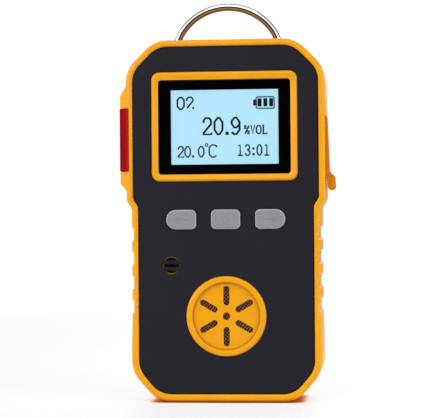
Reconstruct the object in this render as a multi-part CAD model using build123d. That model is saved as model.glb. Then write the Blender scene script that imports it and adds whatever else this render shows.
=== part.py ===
"""Portable gas detector with a display, three keys, a wire bail and a belt clip.

Frame: +X right and -Y towards the user, +Z up. The origin is the centre of the flat base.
All sizes are millimetres. Each function builds one sub-part, and main() writes one STEP for each.
"""
from build123d import *
import os

# Case
CASE_H = 130.0
CASE_FRONT = -15.0            # apex of the raised rim
CASE_BACK = 15.0
UPPER_HALF_W = 35.8
LOWER_HALF_W = 33.95
WAIST_LOW_Z = 69.5
WAIST_HIGH_Z = 72.5
TOP_CHAMFER = 10.5
BOTTOM_CHAMFER_X = 9.1
BOTTOM_CHAMFER_Z = 10.9
BASE_FLARE = 0.35               # extra half width at the lower end
FLARE_TOP_Z = 30.0
FLARE_LOW_Z = 21.0
TOP_CORNER_R = 11.5
BOTTOM_CORNER_R = 11.5
WAIST_R = 2.5
WALL = 2.0
SEAM_Y = -4.0                 # plane between the front and rear shells
SEAL_T = 0.3
SEAL_W = 0.8
SEAL_INSET = 0.95
REAR_EDGE_R = 4.0
REAR_FLOOR = CASE_BACK - WALL

# Raised rim and the dark face inside it
RIM_W = 2.35
RIM_BOTTOM_W = 2.9
RIM_OUTER_R = 1.6
RIM_INNER_R = 0.7
SKIN_FRONT = -14.3
SKIN_BACK = -13.2
SKIN_GAP = 0.12
PLATE_BACK = -11.7            # back of the front shell's face plate

# Side grips
GRIP_LOW_Z = 31.85
GRIP_PITCH = 8.67
GRIP_LENGTH = 5.05
GRIP_DEPTH = 0.82
GRIP_RAMP = 0.5
GRIP_COUNT = 4

# Display
DISPLAY_X = -0.28              # the display stands a little left of the middle
BEZEL_W = 52.6
BEZEL_H = 39.4
BEZEL_Z = 98.85
BEZEL_R = 3.0
BEZEL_OUTER_R = 1.3
BEZEL_SLOPE_W = 1.7
BEZEL_SLOPE_Y = -14.3          # foot of the slope towards the window
OPENING_W = 47.6
OPENING_H = 34.0
OPENING_Z = 98.65
OPENING_R = 1.2
WINDOW_FRONT = -14.0
WINDOW_BACK = -12.9
MASK_T = 0.2
LCD_W = 38.7
LCD_H = 26.8
LCD_Z = 98.65
LCD_X = -0.25
PANEL_W = 43.0
PANEL_H = 31.4
PANEL_T = 1.8
BACKLIGHT_T = 2.2
HOLDER_W = 47.0
HOLDER_H = 38.0

# Keys
KEY_Z = 65.5
KEY_H = 7.05
KEY_END_W = 10.8
KEY_MID_W = 10.5
KEY_PITCH = 16.0
KEY_CORNER_R = 1.8
KEY_EDGE_R = 0.6
KEY_FRONT = -15.1
KEY_GAP = 0.25
KEY_TRAVEL = 0.7
KEY_FLANGE = 0.8
KEY_FLANGE_FRONT = -11.5
KEY_FLANGE_BACK = -10.7
KEY_STEM_R = 1.8

# Circuit board and what is soldered to it
BOARD_FRONT = -5.6
BOARD_BACK = -4.0
SWITCH_SIZE = 5.2
SWITCH_T = 1.5
PLUNGER_R = 1.5
PLUNGER_T = 0.8
PLUNGER_FRONT = BOARD_FRONT - SWITCH_T - PLUNGER_T
KEY_STEM_BACK = PLUNGER_FRONT - KEY_TRAVEL - 0.05

# Buzzer
BUZZER_X = -19.8
BUZZER_Z = 49.1
BUZZER_R = 6.0
BUZZER_FRONT = -11.3
PORT_R = 3.2                 # opening in the dark skin
PORT_RING_R = 2.85            # smaller opening in the shell behind it
PORT_BAR_LOW = 0.62
PORT_BAR_HIGH = 1.72

# Gas sensor and its cap
SENSOR_Z = 30.8
CAP_R = 14.4
CAP_GAP = 0.25
CAP_FRONT = -15.0
CAP_BEAD_W = 2.2
CAP_EDGE_R = 1.0
CAP_FLOOR_FRONT = -13.75
CAP_FLOOR_BACK = -12.7
CAP_SPIGOT_R = 12.4
CAP_SLOTS = 6
CAP_SLOT_INNER = 3.85
CAP_SLOT_OUTER = 10.85
CAP_SLOT_W = 2.2
CAP_HOLE_R = 1.38
CAP_SEAT_R = 12.6
MESH_R = 12.0
MESH_T = 0.4
FILTER_R = 11.0
FILTER_T = 0.5
SENSOR_R = 10.1
SENSOR_L = 16.5
SENSOR_FRONT = -11.3
CUP_OUTER_R = 14.2
CUP_INNER_R = 12.5
CUP_BACK = -8.0

# Alarm lamp on the left side
LAMP_LOW_Z = 76.0
LAMP_HIGH_Z = 113.7
LAMP_RAMP_LOW = 2.6
LAMP_RAMP_HIGH = 3.6
LAMP_OUT = 2.3
LAMP_BACK = 8.0
LAMP_SLOPE_IN = 1.5            # how far the sloped front reaches onto the rim
LAMP_SLOPE_DEEP = 2.5
LENS_LOW_Z = 83.0
LENS_HIGH_Z = 105.6
LENS_PROUD = 0.2
LENS_STRIP_IN = 1.05
LENS_BACK = -5.4

# Charging port and its cover on the right side
PORT_Z = 92.0
COVER_LOW_Z = 81.0
COVER_HIGH_Z = 102.4
COVER_FRONT = -12.9
COVER_BACK = -4.35
COVER_INNER = 34.2
COVER_OUT_TOP = 0.7
COVER_OUT_LOW = 1.45
COVER_CLEAR = 0.25
TAB_R = 1.5
TAB_OUT = 1.85
TAB_DROP = 1.1
TAB_LEAN = 0.3
TAB_LENGTH = 2.8
PORT_OPEN_H = 10.8
PORT_BOSS_H = 9.6
PORT_BOSS_INNER = 32.4
BLOCK_INNER = 31.2
USB_W = 8.94
USB_T = 3.2
USB_L = 7.3

# Wire bail
WIRE_R = 1.3
BAIL_HALF_W = 18.85
BAIL_SPRING_Z = 127.0         # height where the arch starts
BAIL_RISE = 16.15
BAIL_SIDE_R = 13.4
BAIL_PIVOT_Z = 122.8
BAIL_BEND_R = 2.2
BAIL_PIN_END = 24.15
BAIL_FIT = 0.05
STEP_HALF_W = 21.05
STEP_FLOOR = 121.0
STEP_FRONT = -2.2
STEP_ROOF = 119.0             # inside ceiling of the rear shell below the step

# Case screws
SCREW_POINTS = [(-27.6, 14.5), (27.6, 14.5), (-28.0, 114.0), (28.0, 114.0)]
SCREW_R = 1.1
SCREW_HOLE_R = 1.2
SCREW_HEAD_R = 2.4
SCREW_HEAD_T = 1.8
SCREW_SEAT_Y = 9.5
SCREW_TIP = -10.6
BOSS_R = 3.4

# Belt clip
PAD_FRONT = 14.2
PAD_BACK = 15.4
PAD_INSET = 6.0
PLATE_HALF_W = 9.0
PLATE_LOW_Z = 50.0
PLATE_HIGH_Z = 104.0
PLATE_T = 1.2
EAR_T = 1.2
EAR_R = 3.8
PIVOT_Y = 20.4
PIVOT_Z = 87.0
SPRING_OUTER_R = 2.9
SPRING_INNER_R = 1.9
SPRING_LENGTH = 8.0
SPRING_WIRE = 0.9
SPRING_LEG_LENGTH = 8.0
CLIP_PIN_R = 1.5
CLIP_HEAD_R = 2.3
CLIP_HEAD_T = 1.1
LEVER_HALF_W = 7.4
LEVER_T = 1.2
LEVER_Y = 24.1
CLIP_SCREW_Z = (64.0, 98.0)
CLIP_SCREW_R = 1.25
CLIP_SCREW_HEAD_R = 2.8
CLIP_SCREW_HEAD_T = 1.3
CLIP_SCREW_TIP = 10.0

# Battery, sensor board and vibration motor
BATTERY = (-22.0, 22.0, -1.5, 7.5, 56.0, 104.0)
SENSOR_BOARD_Y = 6.4
SENSOR_BOARD_T = 1.6
SENSOR_BOARD_HALF = 13.0
MOTOR_X = 21.0
MOTOR_Y = 8.0
MOTOR_R = 3.5
MOTOR_LOW_Z = 24.0
MOTOR_HIGH_Z = 38.0
ROTOR_R = 2.9
ROTOR_LOW_Z = 19.6
ROTOR_HIGH_Z = 23.4
SHAFT_R = 0.5
SHAFT_TOP_Z = 31.0

FRONT_END = SEAM_Y - SEAL_T / 2
REAR_START = SEAM_Y + SEAL_T / 2


# Helpers -------------------------------------------------------------------------------------

def slab(profile, y_front, y_back):
    """Extrude an X-Z profile between two Y planes."""
    return extrude(Plane.XZ.offset(-y_back) * profile, amount=y_back - y_front)


def bar(profile, x_low, x_high):
    """Extrude a Y-Z profile between two X planes."""
    return extrude(Plane.YZ.offset(x_low) * profile, amount=x_high - x_low)


def block(x0, x1, y0, y1, z0, z1):
    """Box between two opposite corners."""
    middle = Pos((x0 + x1) / 2, (y0 + y1) / 2, (z0 + z1) / 2)
    return middle * Box(x1 - x0, y1 - y0, z1 - z0)


def rod_x(y, z, radius, x0, x1):
    """Cylinder along X."""
    return Pos((x0 + x1) / 2, y, z) * Rot(0, 90, 0) * Cylinder(radius, x1 - x0)


def rod_y(x, z, radius, y0, y1):
    """Cylinder along Y."""
    return Pos(x, (y0 + y1) / 2, z) * Rot(90, 0, 0) * Cylinder(radius, y1 - y0)


def rod_z(x, y, radius, z0, z1):
    """Cylinder along Z."""
    return Pos(x, y, (z0 + z1) / 2) * Cylinder(radius, z1 - z0)


def front_face(solid):
    """Flat face nearest the user."""
    return solid.faces().filter_by(Axis.Y).sort_by(Axis.Y)[0]


def back_face(solid):
    """Flat face furthest from the user."""
    return solid.faces().filter_by(Axis.Y).sort_by(Axis.Y)[-1]


def round_rectangle(width, height, radius, x=0.0, z=0.0):
    """Rectangle with round corners, centred at x, z."""
    return Pos(x, z) * RectangleRounded(width, height, radius)


# Case outline --------------------------------------------------------------------------------

def case_outline(inset=0.0, bottom=None):
    """Case outline seen from the front, moved inwards; bottom trims it to a higher flat base.

    Only the outermost outline flares at the lower end; the insets run straight down.
    """
    flare = [
        (LOWER_HALF_W, FLARE_TOP_Z),
        (LOWER_HALF_W + BASE_FLARE, FLARE_LOW_Z),
        (LOWER_HALF_W + BASE_FLARE, BOTTOM_CHAMFER_Z),
    ]
    half = [
        (UPPER_HALF_W - TOP_CHAMFER, CASE_H),
        (UPPER_HALF_W, CASE_H - TOP_CHAMFER),
        (UPPER_HALF_W, WAIST_HIGH_Z),
        (LOWER_HALF_W, WAIST_LOW_Z),
        *([(LOWER_HALF_W, BOTTOM_CHAMFER_Z)] if inset else flare),
        (LOWER_HALF_W - BOTTOM_CHAMFER_X, 0.0),
    ]
    mirrored = [(-x, z) for x, z in reversed(half)]
    face = make_face(Polyline(*half, *mirrored, close=True))
    if inset:
        face = offset(face, -inset, kind=Kind.INTERSECTION)
    if bottom:
        face = face & (Pos(0, bottom + CASE_H / 2) * Rectangle(4 * UPPER_HALF_W, CASE_H))
    low = face.vertices().filter_by_position(Axis.Y, -1, FLARE_LOW_Z - 2)
    face = fillet(low, BOTTOM_CORNER_R - inset)
    high = face.vertices().filter_by_position(Axis.Y, CASE_H - 2 * TOP_CHAMFER, CASE_H + 1)
    high = [v for v in high if v.Y > CASE_H - TOP_CHAMFER - inset - 1]
    face = fillet(high, TOP_CORNER_R - inset)
    waist = face.vertices().filter_by_position(Axis.Y, WAIST_LOW_Z - 3, WAIST_HIGH_Z + 3)
    return fillet(waist, WAIST_R)


def grip_cuts(y_front, y_back):
    """Row of shallow notches down both sides of the lower case."""
    cuts = []
    for index in range(GRIP_COUNT):
        low = GRIP_LOW_Z + index * GRIP_PITCH
        high = low + GRIP_LENGTH
        for side in (-1, 1):
            outer = side * (LOWER_HALF_W + 1)
            inner = side * (LOWER_HALF_W - GRIP_DEPTH)
            notch = Polyline(
                (outer, low - GRIP_RAMP),
                (side * LOWER_HALF_W, low),
                (inner, low + GRIP_RAMP),
                (inner, high - GRIP_RAMP),
                (side * LOWER_HALF_W, high),
                (outer, high + GRIP_RAMP),
                close=True,
            )
            cuts.append(slab(make_face(notch), y_front, y_back))
    return cuts


def lamp_bump(y_front, y_back):
    """Raised block on the left side that carries the alarm lens, sloped on its front."""
    inner = -(UPPER_HALF_W - 1.0)
    outer = -(UPPER_HALF_W + LAMP_OUT)
    edge = -UPPER_HALF_W
    side = Polyline(
        (inner, LAMP_LOW_Z - 1.0),
        (edge, LAMP_LOW_Z),
        (outer, LAMP_LOW_Z + LAMP_RAMP_LOW),
        (outer, LAMP_HIGH_Z - LAMP_RAMP_HIGH),
        (edge, LAMP_HIGH_Z),
        (inner, LAMP_HIGH_Z + 1.0),
        close=True,
    )
    solid = slab(make_face(side), y_front, y_back)
    slope = Polyline(
        (edge + LAMP_SLOPE_IN, CASE_FRONT + 0.1),
        (outer - 0.3, CASE_FRONT + 0.1 + LAMP_SLOPE_DEEP),
        (outer - 0.3, CASE_FRONT - 5),
        (edge + LAMP_SLOPE_IN, CASE_FRONT - 5),
        close=True,
    )
    cut = extrude(Pos(0, 0, LAMP_LOW_Z - 5) * make_face(slope), LAMP_HIGH_Z - LAMP_LOW_Z + 10)
    return solid - cut


def lens_profile(grow=0.0):
    """Plan of the lens: a narrow front strip, a slope and a side strip."""
    edge = -UPPER_HALF_W
    outer = -(UPPER_HALF_W + LAMP_OUT + LENS_PROUD)
    plan = Polyline(
        (edge + LENS_STRIP_IN, CASE_FRONT + 0.1),
        (edge, CASE_FRONT + 0.25),
        (outer, CASE_FRONT + LAMP_SLOPE_DEEP - 0.1),
        (outer, LENS_BACK),
        (outer + 2.9, LENS_BACK),
        (outer + 2.9, CASE_FRONT + 2.6),
        close=True,
    )
    face = make_face(plan)
    return offset(face, grow, kind=Kind.INTERSECTION) if grow else face


def lens_solid(grow=0.0):
    """Lens, or the pocket for it when grown by the clearance."""
    low = LENS_LOW_Z - grow
    return extrude(Pos(0, 0, low) * lens_profile(grow), LENS_HIGH_Z - LENS_LOW_Z + 2 * grow)


# Case ----------------------------------------------------------------------------------------

def boss_posts(radius, y_front, y_back):
    """One post at each case screw."""
    return [rod_y(x, z, radius, y_front, y_back) for x, z in SCREW_POINTS]


def key_profile(name, grow=0.0):
    """Outline of one key; the end keys have one full-round end."""
    if name == "power":
        face = round_rectangle(KEY_MID_W, KEY_H, KEY_CORNER_R, 0, KEY_Z)
        return offset(face, grow) if grow else face
    side = -1 if name == "left" else 1
    face = Pos(side * KEY_PITCH, KEY_Z) * Rectangle(KEY_END_W, KEY_H)
    corners = face.vertices().sort_by(Axis.X)
    ends = corners[:2] if side < 0 else corners[2:]
    face = fillet(ends, KEY_H / 2 - 0.02)
    corners = face.vertices().sort_by(Axis.X)
    square = corners[-2:] if side < 0 else corners[:2]
    face = fillet(square, KEY_CORNER_R)
    return offset(face, grow) if grow else face


def front_shell():
    """Orange front shell: raised rim, display bezel, face plate, lamp bump and screw posts."""
    solid = slab(case_outline(), CASE_FRONT, FRONT_END)
    solid = fillet(front_face(solid).edges(), RIM_OUTER_R)
    solid -= slab(case_outline(RIM_W, RIM_BOTTOM_W), CASE_FRONT - 1, SKIN_BACK)
    solid = fillet(front_face(solid).inner_wires().edges(), RIM_INNER_R)
    solid += lamp_bump(CASE_FRONT, FRONT_END)
    solid -= slab(case_outline(WALL), PLATE_BACK, FRONT_END + 1)
    solid += display_bezel()
    opening = round_rectangle(OPENING_W, OPENING_H, OPENING_R, DISPLAY_X, OPENING_Z)
    solid -= slab(opening, CASE_FRONT - 1, PLATE_BACK + 1)
    solid += rod_y(0, SENSOR_Z, CUP_OUTER_R, PLATE_BACK - 0.5, CUP_BACK)
    solid -= rod_y(0, SENSOR_Z, CUP_INNER_R, PLATE_BACK, CUP_BACK + 1)
    solid -= rod_y(0, SENSOR_Z, CAP_SEAT_R, CASE_FRONT, PLATE_BACK)
    solid -= rod_y(BUZZER_X, BUZZER_Z, PORT_RING_R, CASE_FRONT, PLATE_BACK + 1)
    for name in ("left", "power", "right"):
        solid -= slab(key_profile(name, KEY_GAP), CASE_FRONT, PLATE_BACK + 1)
    solid += boss_posts(BOSS_R, PLATE_BACK - 0.5, FRONT_END)
    solid -= boss_posts(SCREW_HOLE_R, SCREW_TIP - 0.4, FRONT_END + 1)
    solid += block(BLOCK_INNER, UPPER_HALF_W - 0.5, PLATE_BACK - 0.5, FRONT_END, COVER_LOW_Z - 2, COVER_HIGH_Z + 2)
    solid -= cover_recess()
    solid -= grip_cuts(CASE_FRONT - 1, FRONT_END + 1)
    solid -= lens_solid(0.1)
    return solid


def display_bezel():
    """Raised ring around the display, round outside and sloped down to the window inside."""
    bezel = slab(round_rectangle(BEZEL_W, BEZEL_H, BEZEL_R, DISPLAY_X, BEZEL_Z), CASE_FRONT, SKIN_BACK + 0.5)
    bezel = fillet(front_face(bezel).edges(), BEZEL_OUTER_R)
    foot = round_rectangle(OPENING_W, OPENING_H, OPENING_R, DISPLAY_X, OPENING_Z)
    wide = OPENING_W + 2 * BEZEL_SLOPE_W
    tall = OPENING_H + 2 * BEZEL_SLOPE_W
    crest = round_rectangle(wide, tall, OPENING_R + BEZEL_SLOPE_W, DISPLAY_X, OPENING_Z)
    foot_plane = Plane.XZ.offset(-BEZEL_SLOPE_Y)
    crest_plane = Plane.XZ.offset(-CASE_FRONT)
    return bezel - loft([foot_plane * foot, crest_plane * crest], ruled=True)


def cover_recess():
    """Recess for the port cover, and the opening in front of the charging socket."""
    inner = COVER_INNER - 0.2
    low = COVER_LOW_Z - COVER_CLEAR
    high = COVER_HIGH_Z + 0.1
    seat = block(inner, UPPER_HALF_W + 5, COVER_FRONT - COVER_CLEAR, FRONT_END + 1, low, high)
    half = PORT_OPEN_H / 2
    mouth_y = (BOARD_FRONT - USB_T / 2 - 0.2)
    mouth = block(BLOCK_INNER - 1, inner + 1, mouth_y - 2.4, mouth_y + 2.4, PORT_Z - half, PORT_Z + half)
    return seat + mouth


def front_skin():
    """Dark soft skin set into the face, with openings for the bezel, keys, cap and buzzer."""
    solid = slab(case_outline(RIM_W + SKIN_GAP, RIM_BOTTOM_W + SKIN_GAP), SKIN_FRONT, SKIN_BACK)
    solid = fillet(front_face(solid).edges(), 0.4)
    gap = 2 * SKIN_GAP
    bezel = round_rectangle(BEZEL_W + gap, BEZEL_H + gap, BEZEL_R + SKIN_GAP, DISPLAY_X, BEZEL_Z)
    solid -= slab(bezel, CASE_FRONT, SKIN_BACK + 1)
    solid -= rod_y(0, SENSOR_Z, CAP_R + CAP_GAP, CASE_FRONT, SKIN_BACK + 1)
    for name in ("left", "power", "right"):
        solid -= slab(key_profile(name, KEY_GAP), CASE_FRONT, SKIN_BACK + 1)
    port = Pos(BUZZER_X, BUZZER_Z) * Circle(PORT_R)
    for side in (-1, 1):
        middle = side * (PORT_BAR_LOW + PORT_BAR_HIGH) / 2
        height = PORT_BAR_HIGH - PORT_BAR_LOW
        port -= Pos(BUZZER_X, BUZZER_Z + middle) * Rectangle(3 * PORT_R, height)
    solid -= slab(port, CASE_FRONT, SKIN_BACK + 1)
    return solid


def case_seal():
    """Rubber ring pressed between the two shells."""
    ring = case_outline(SEAL_INSET) - case_outline(SEAL_INSET + SEAL_W)
    solid = slab(ring, FRONT_END, REAR_START)
    low = COVER_LOW_Z - 1
    return solid - block(COVER_INNER - 0.5, UPPER_HALF_W + 1, SEAM_Y - 1, SEAM_Y + 1, low, COVER_HIGH_Z + 1)


def rear_shell():
    """Orange rear shell with the bail's step and pivots, screw posts and motor cradle."""
    solid = slab(case_outline(), REAR_START, CASE_BACK)
    solid = fillet(back_face(solid).edges(), REAR_EDGE_R)
    cavity = case_outline(WALL) & (Pos(0, STEP_ROOF - CASE_H / 2) * Rectangle(4 * UPPER_HALF_W, CASE_H))
    solid -= slab(cavity, REAR_START - 1, REAR_FLOOR)
    bump = lamp_bump(REAR_START, LAMP_BACK)
    bump = chamfer(bump.edges().filter_by(Axis.Z).sort_by(Axis.X)[:2].sort_by(Axis.Y)[-1], 1.4)
    solid += bump
    solid -= block(-STEP_HALF_W, STEP_HALF_W, STEP_FRONT, CASE_BACK + 1, STEP_FLOOR, CASE_H + 1)
    solid -= rod_x(0, BAIL_PIVOT_Z, WIRE_R + BAIL_FIT, -BAIL_PIN_END - 0.3, BAIL_PIN_END + 0.3)
    solid += boss_posts(BOSS_R, REAR_START, REAR_FLOOR + 0.5)
    solid -= boss_posts(SCREW_HOLE_R, REAR_START - 1, CASE_BACK)
    solid -= boss_posts(SCREW_HEAD_R + 0.3, SCREW_SEAT_Y, CASE_BACK + 1)
    pad = case_outline(PAD_INSET - 0.1)
    solid -= slab(pad, PAD_FRONT, CASE_BACK + 1) - clip_land()
    for z in CLIP_SCREW_Z:
        solid += rod_y(0, z, BOSS_R, CLIP_SCREW_TIP - 1, REAR_FLOOR + 0.5)
        solid -= rod_y(0, z, CLIP_SCREW_R + 0.05, CLIP_SCREW_TIP - 0.4, CASE_BACK + 1)
    for x in (-1, 1):
        for z in (-1, 1):
            middle = SENSOR_Z + z * (SENSOR_BOARD_HALF - 2)
            board_back = SENSOR_BOARD_Y + SENSOR_BOARD_T
            solid += rod_y(x * (SENSOR_BOARD_HALF - 2), middle, 1.6, board_back, REAR_FLOOR + 0.5)
    half = MOTOR_R + 0.6
    cradle = block(MOTOR_X - half, MOTOR_X + half, MOTOR_Y + 1, REAR_FLOOR + 0.5, MOTOR_LOW_Z + 2, MOTOR_HIGH_Z - 2)
    solid += cradle
    solid -= rod_z(MOTOR_X, MOTOR_Y, MOTOR_R + 0.05, MOTOR_LOW_Z, MOTOR_HIGH_Z)
    solid -= grip_cuts(REAR_START - 1, CASE_BACK + 1)
    return solid


def clip_land(grow=0.0):
    """Raised land of the rear shell under the belt clip's plate."""
    half = PLATE_HALF_W + 0.6 + grow
    return block(-half, half, PAD_FRONT - 1, CASE_BACK, PLATE_LOW_Z - 0.6 - grow, PLATE_HIGH_Z + 0.6 + grow)


def rear_pad():
    """Dark soft pad on the back, around the belt clip."""
    solid = slab(case_outline(PAD_INSET), PAD_FRONT, PAD_BACK)
    solid = fillet(back_face(solid).edges(), 0.5)
    half = PLATE_HALF_W + 0.7
    solid -= block(-half, half, PAD_FRONT - 1, PAD_BACK + 1, PLATE_LOW_Z - 0.7, PLATE_HIGH_Z + 0.7)
    for x, z in SCREW_POINTS:
        solid -= rod_y(x, z, SCREW_HEAD_R + 0.9, PAD_FRONT - 1, PAD_BACK + 1)
    top = STEP_FLOOR - 1.5
    return solid - block(-UPPER_HALF_W, UPPER_HALF_W, PAD_FRONT - 1, PAD_BACK + 1, top, CASE_H)


def case_screw(x, z):
    """Pan-head case screw with a cross recess, driven from the back."""
    solid = rod_y(x, z, SCREW_R, SCREW_TIP, SCREW_SEAT_Y)
    head = rod_y(x, z, SCREW_HEAD_R, SCREW_SEAT_Y, SCREW_SEAT_Y + SCREW_HEAD_T)
    head = fillet(head.edges().sort_by(Axis.Y)[-1], 0.6)
    top = SCREW_SEAT_Y + SCREW_HEAD_T
    solid += head
    solid -= block(x - 1.5, x + 1.5, top - 0.9, top + 1, z - 0.3, z + 0.3)
    return solid - block(x - 0.3, x + 0.3, top - 0.9, top + 1, z - 1.5, z + 1.5)


# Display -------------------------------------------------------------------------------------

def display_window():
    """Clear pane inside the bezel."""
    profile = round_rectangle(OPENING_W - 0.2, OPENING_H - 0.2, OPENING_R - 0.1, DISPLAY_X, OPENING_Z)
    return slab(profile, WINDOW_FRONT, WINDOW_BACK)


def window_mask():
    """Black printed border behind the pane."""
    profile = round_rectangle(OPENING_W - 0.4, OPENING_H - 0.4, OPENING_R - 0.2, DISPLAY_X, OPENING_Z)
    profile -= Pos(LCD_X, LCD_Z) * Rectangle(LCD_W, LCD_H)
    return slab(profile, WINDOW_BACK, WINDOW_BACK + MASK_T)


def lcd_panel():
    """Liquid crystal panel."""
    front = WINDOW_BACK + MASK_T
    return slab(Pos(DISPLAY_X, OPENING_Z) * Rectangle(PANEL_W, PANEL_H), front, front + PANEL_T)


def lcd_backlight():
    """Light guide behind the panel."""
    front = WINDOW_BACK + MASK_T + PANEL_T
    return slab(Pos(DISPLAY_X, OPENING_Z) * Rectangle(PANEL_W, PANEL_H), front, front + BACKLIGHT_T)


def lcd_holder():
    """Plastic tray that carries the panel and light guide on the circuit board."""
    guide_back = WINDOW_BACK + MASK_T + PANEL_T + BACKLIGHT_T
    front = PLATE_BACK + 0.1
    solid = slab(Pos(DISPLAY_X, OPENING_Z) * Rectangle(HOLDER_W, HOLDER_H), front, BOARD_FRONT)
    pocket = Pos(DISPLAY_X, OPENING_Z) * Rectangle(PANEL_W + 0.2, PANEL_H + 0.2)
    solid -= slab(pocket, front - 1, guide_back)
    under = Pos(DISPLAY_X, OPENING_Z) * Rectangle(HOLDER_W - 4, HOLDER_H - 4)
    return solid - slab(under, guide_back + 1.0, BOARD_FRONT + 1)


# Keys ----------------------------------------------------------------------------------------

def key(name):
    """Grey key with a flange behind the shell and a stem over its switch."""
    x = {"left": -KEY_PITCH, "power": 0.0, "right": KEY_PITCH}[name]
    solid = slab(key_profile(name), KEY_FRONT, KEY_FLANGE_FRONT)
    solid = fillet(front_face(solid).edges(), KEY_EDGE_R)
    solid += slab(key_profile(name, KEY_FLANGE), KEY_FLANGE_FRONT, KEY_FLANGE_BACK)
    return solid + rod_y(x, KEY_Z, KEY_STEM_R, KEY_FLANGE_BACK, KEY_STEM_BACK)


def keypad_frame():
    """Silicone frame under the keys; the key stems pass through it."""
    front = KEY_FLANGE_BACK + KEY_TRAVEL + 0.2
    solid = slab(Pos(0, KEY_Z) * Rectangle(47, 11), front, BOARD_FRONT)
    solid -= slab(Pos(0, KEY_Z) * Rectangle(45, 9), front + 0.7, BOARD_FRONT + 1)
    for x in (-KEY_PITCH, 0, KEY_PITCH):
        solid -= rod_y(x, KEY_Z, KEY_STEM_R + 0.4, front - 1, front + 1)
    return solid


def key_switch(x):
    """Tactile switch with a round plunger."""
    half = SWITCH_SIZE / 2 - 0.6
    body_front = BOARD_FRONT - SWITCH_T
    body = block(x - half, x + half, body_front, BOARD_FRONT, KEY_Z - half, KEY_Z + half)
    return body + rod_y(x, KEY_Z, PLUNGER_R, PLUNGER_FRONT, body_front)


# Electronics ---------------------------------------------------------------------------------

def main_board():
    """Main circuit board."""
    solid = block(-29, 29, BOARD_FRONT, BOARD_BACK, 46, 108)
    return solid + block(-23.5, 23.5, BOARD_FRONT, BOARD_BACK, 108, 118)


def controller_chip():
    """Square controller package on the back of the board."""
    return block(-15, -5, BOARD_BACK, BOARD_BACK + 1.2, 80, 90)


def charger_chip():
    """Small charger package near the socket."""
    return block(16, 21, BOARD_BACK, BOARD_BACK + 1.0, 90, 94)


def battery_connector():
    """White battery connector on the back of the board."""
    return block(4, 12, BOARD_BACK, BOARD_BACK + 4.5, 48, 53)


def battery_pack():
    """Flat rechargeable cell."""
    x0, x1, y0, y1, z0, z1 = BATTERY
    solid = block(x0, x1, y0, y1, z0, z1)
    return fillet(solid.edges().filter_by(Axis.Z), 2.0)


def buzzer():
    """Round sounder with a hole in its front."""
    solid = rod_y(BUZZER_X, BUZZER_Z, BUZZER_R, BUZZER_FRONT, BOARD_FRONT)
    solid = fillet(solid.edges().sort_by(Axis.Y)[0], 0.5)
    return solid - rod_y(BUZZER_X, BUZZER_Z, 1.0, BUZZER_FRONT - 1, BUZZER_FRONT + 2)


def usb_socket():
    """Charging socket behind the port cover."""
    mouth_y = BOARD_FRONT - USB_T / 2
    profile = Pos(mouth_y, PORT_Z) * RectangleRounded(USB_T, USB_W, USB_T / 2 - 0.05)
    solid = bar(profile, BLOCK_INNER - USB_L - 0.1, BLOCK_INNER - 0.1)
    inside = Pos(mouth_y, PORT_Z) * RectangleRounded(USB_T - 0.6, USB_W - 0.6, USB_T / 2 - 0.35)
    solid -= bar(inside, BLOCK_INNER - 5.6, BLOCK_INNER + 1)
    half = USB_W / 2 - 1.3
    x_end = BLOCK_INNER - 1.0
    return solid + block(BLOCK_INNER - 6, x_end, mouth_y - 0.35, mouth_y + 0.35, PORT_Z - half, PORT_Z + half)


def alarm_board():
    """Narrow board behind the alarm lens."""
    return block(-31.2, -30.2, -11.2, -6.4, 84.5, 103.5)


def alarm_led(z):
    """Square light-emitting diode facing the lens."""
    return block(-32.8, -31.2, -10.3, -7.3, z - 1.5, z + 1.5)


def alarm_lens():
    """Red lens that wraps the case's edge."""
    solid = lens_solid()
    ends = solid.edges().filter_by(lambda e: e.center().X < -UPPER_HALF_W - 0.2)
    return fillet(ends, 0.35)


# Sensor --------------------------------------------------------------------------------------

def sensor_cap():
    """Round cap with a raised bead, a dished floor, six slots and a centre hole."""
    solid = rod_y(0, SENSOR_Z, CAP_R, CAP_FRONT, SKIN_BACK)
    solid = fillet(solid.edges().sort_by(Axis.Y)[0], CAP_EDGE_R)
    solid += rod_y(0, SENSOR_Z, CAP_SPIGOT_R, SKIN_BACK, CAP_FLOOR_BACK)
    dish_r = CAP_R - CAP_BEAD_W
    solid -= rod_y(0, SENSOR_Z, dish_r, CAP_FRONT - 1, CAP_FLOOR_FRONT)
    mouth = [e for e in solid.edges().filter_by(GeomType.CIRCLE)
             if abs(e.radius - dish_r) < 0.01 and abs(e.center().Y - CAP_FRONT) < 0.01]
    solid = fillet(mouth, CAP_EDGE_R / 2)
    length = CAP_SLOT_OUTER - CAP_SLOT_INNER
    middle = (CAP_SLOT_OUTER + CAP_SLOT_INNER) / 2
    slot = SlotOverall(length, CAP_SLOT_W, rotation=90)
    holes = Pos(0, SENSOR_Z) * Circle(CAP_HOLE_R)
    for index in range(CAP_SLOTS):
        holes += Pos(0, SENSOR_Z) * Rot(0, 0, index * 360 / CAP_SLOTS) * Pos(0, middle) * slot
    return solid - slab(holes, CAP_FRONT - 1, CAP_FLOOR_BACK + 1)


def sensor_mesh():
    """Metal mesh disc behind the cap."""
    return rod_y(0, SENSOR_Z, MESH_R, CAP_FLOOR_BACK, CAP_FLOOR_BACK + MESH_T)


def dust_filter():
    """White membrane behind the mesh."""
    front = CAP_FLOOR_BACK + MESH_T
    return rod_y(0, SENSOR_Z, FILTER_R, front, front + FILTER_T)


def sensor_gasket():
    """Foam ring around the sensor's nose."""
    outer = rod_y(0, SENSOR_Z, CUP_INNER_R - 0.1, SENSOR_FRONT, CUP_BACK)
    return outer - rod_y(0, SENSOR_Z, SENSOR_R + 0.1, SENSOR_FRONT - 1, CUP_BACK + 1)


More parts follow.
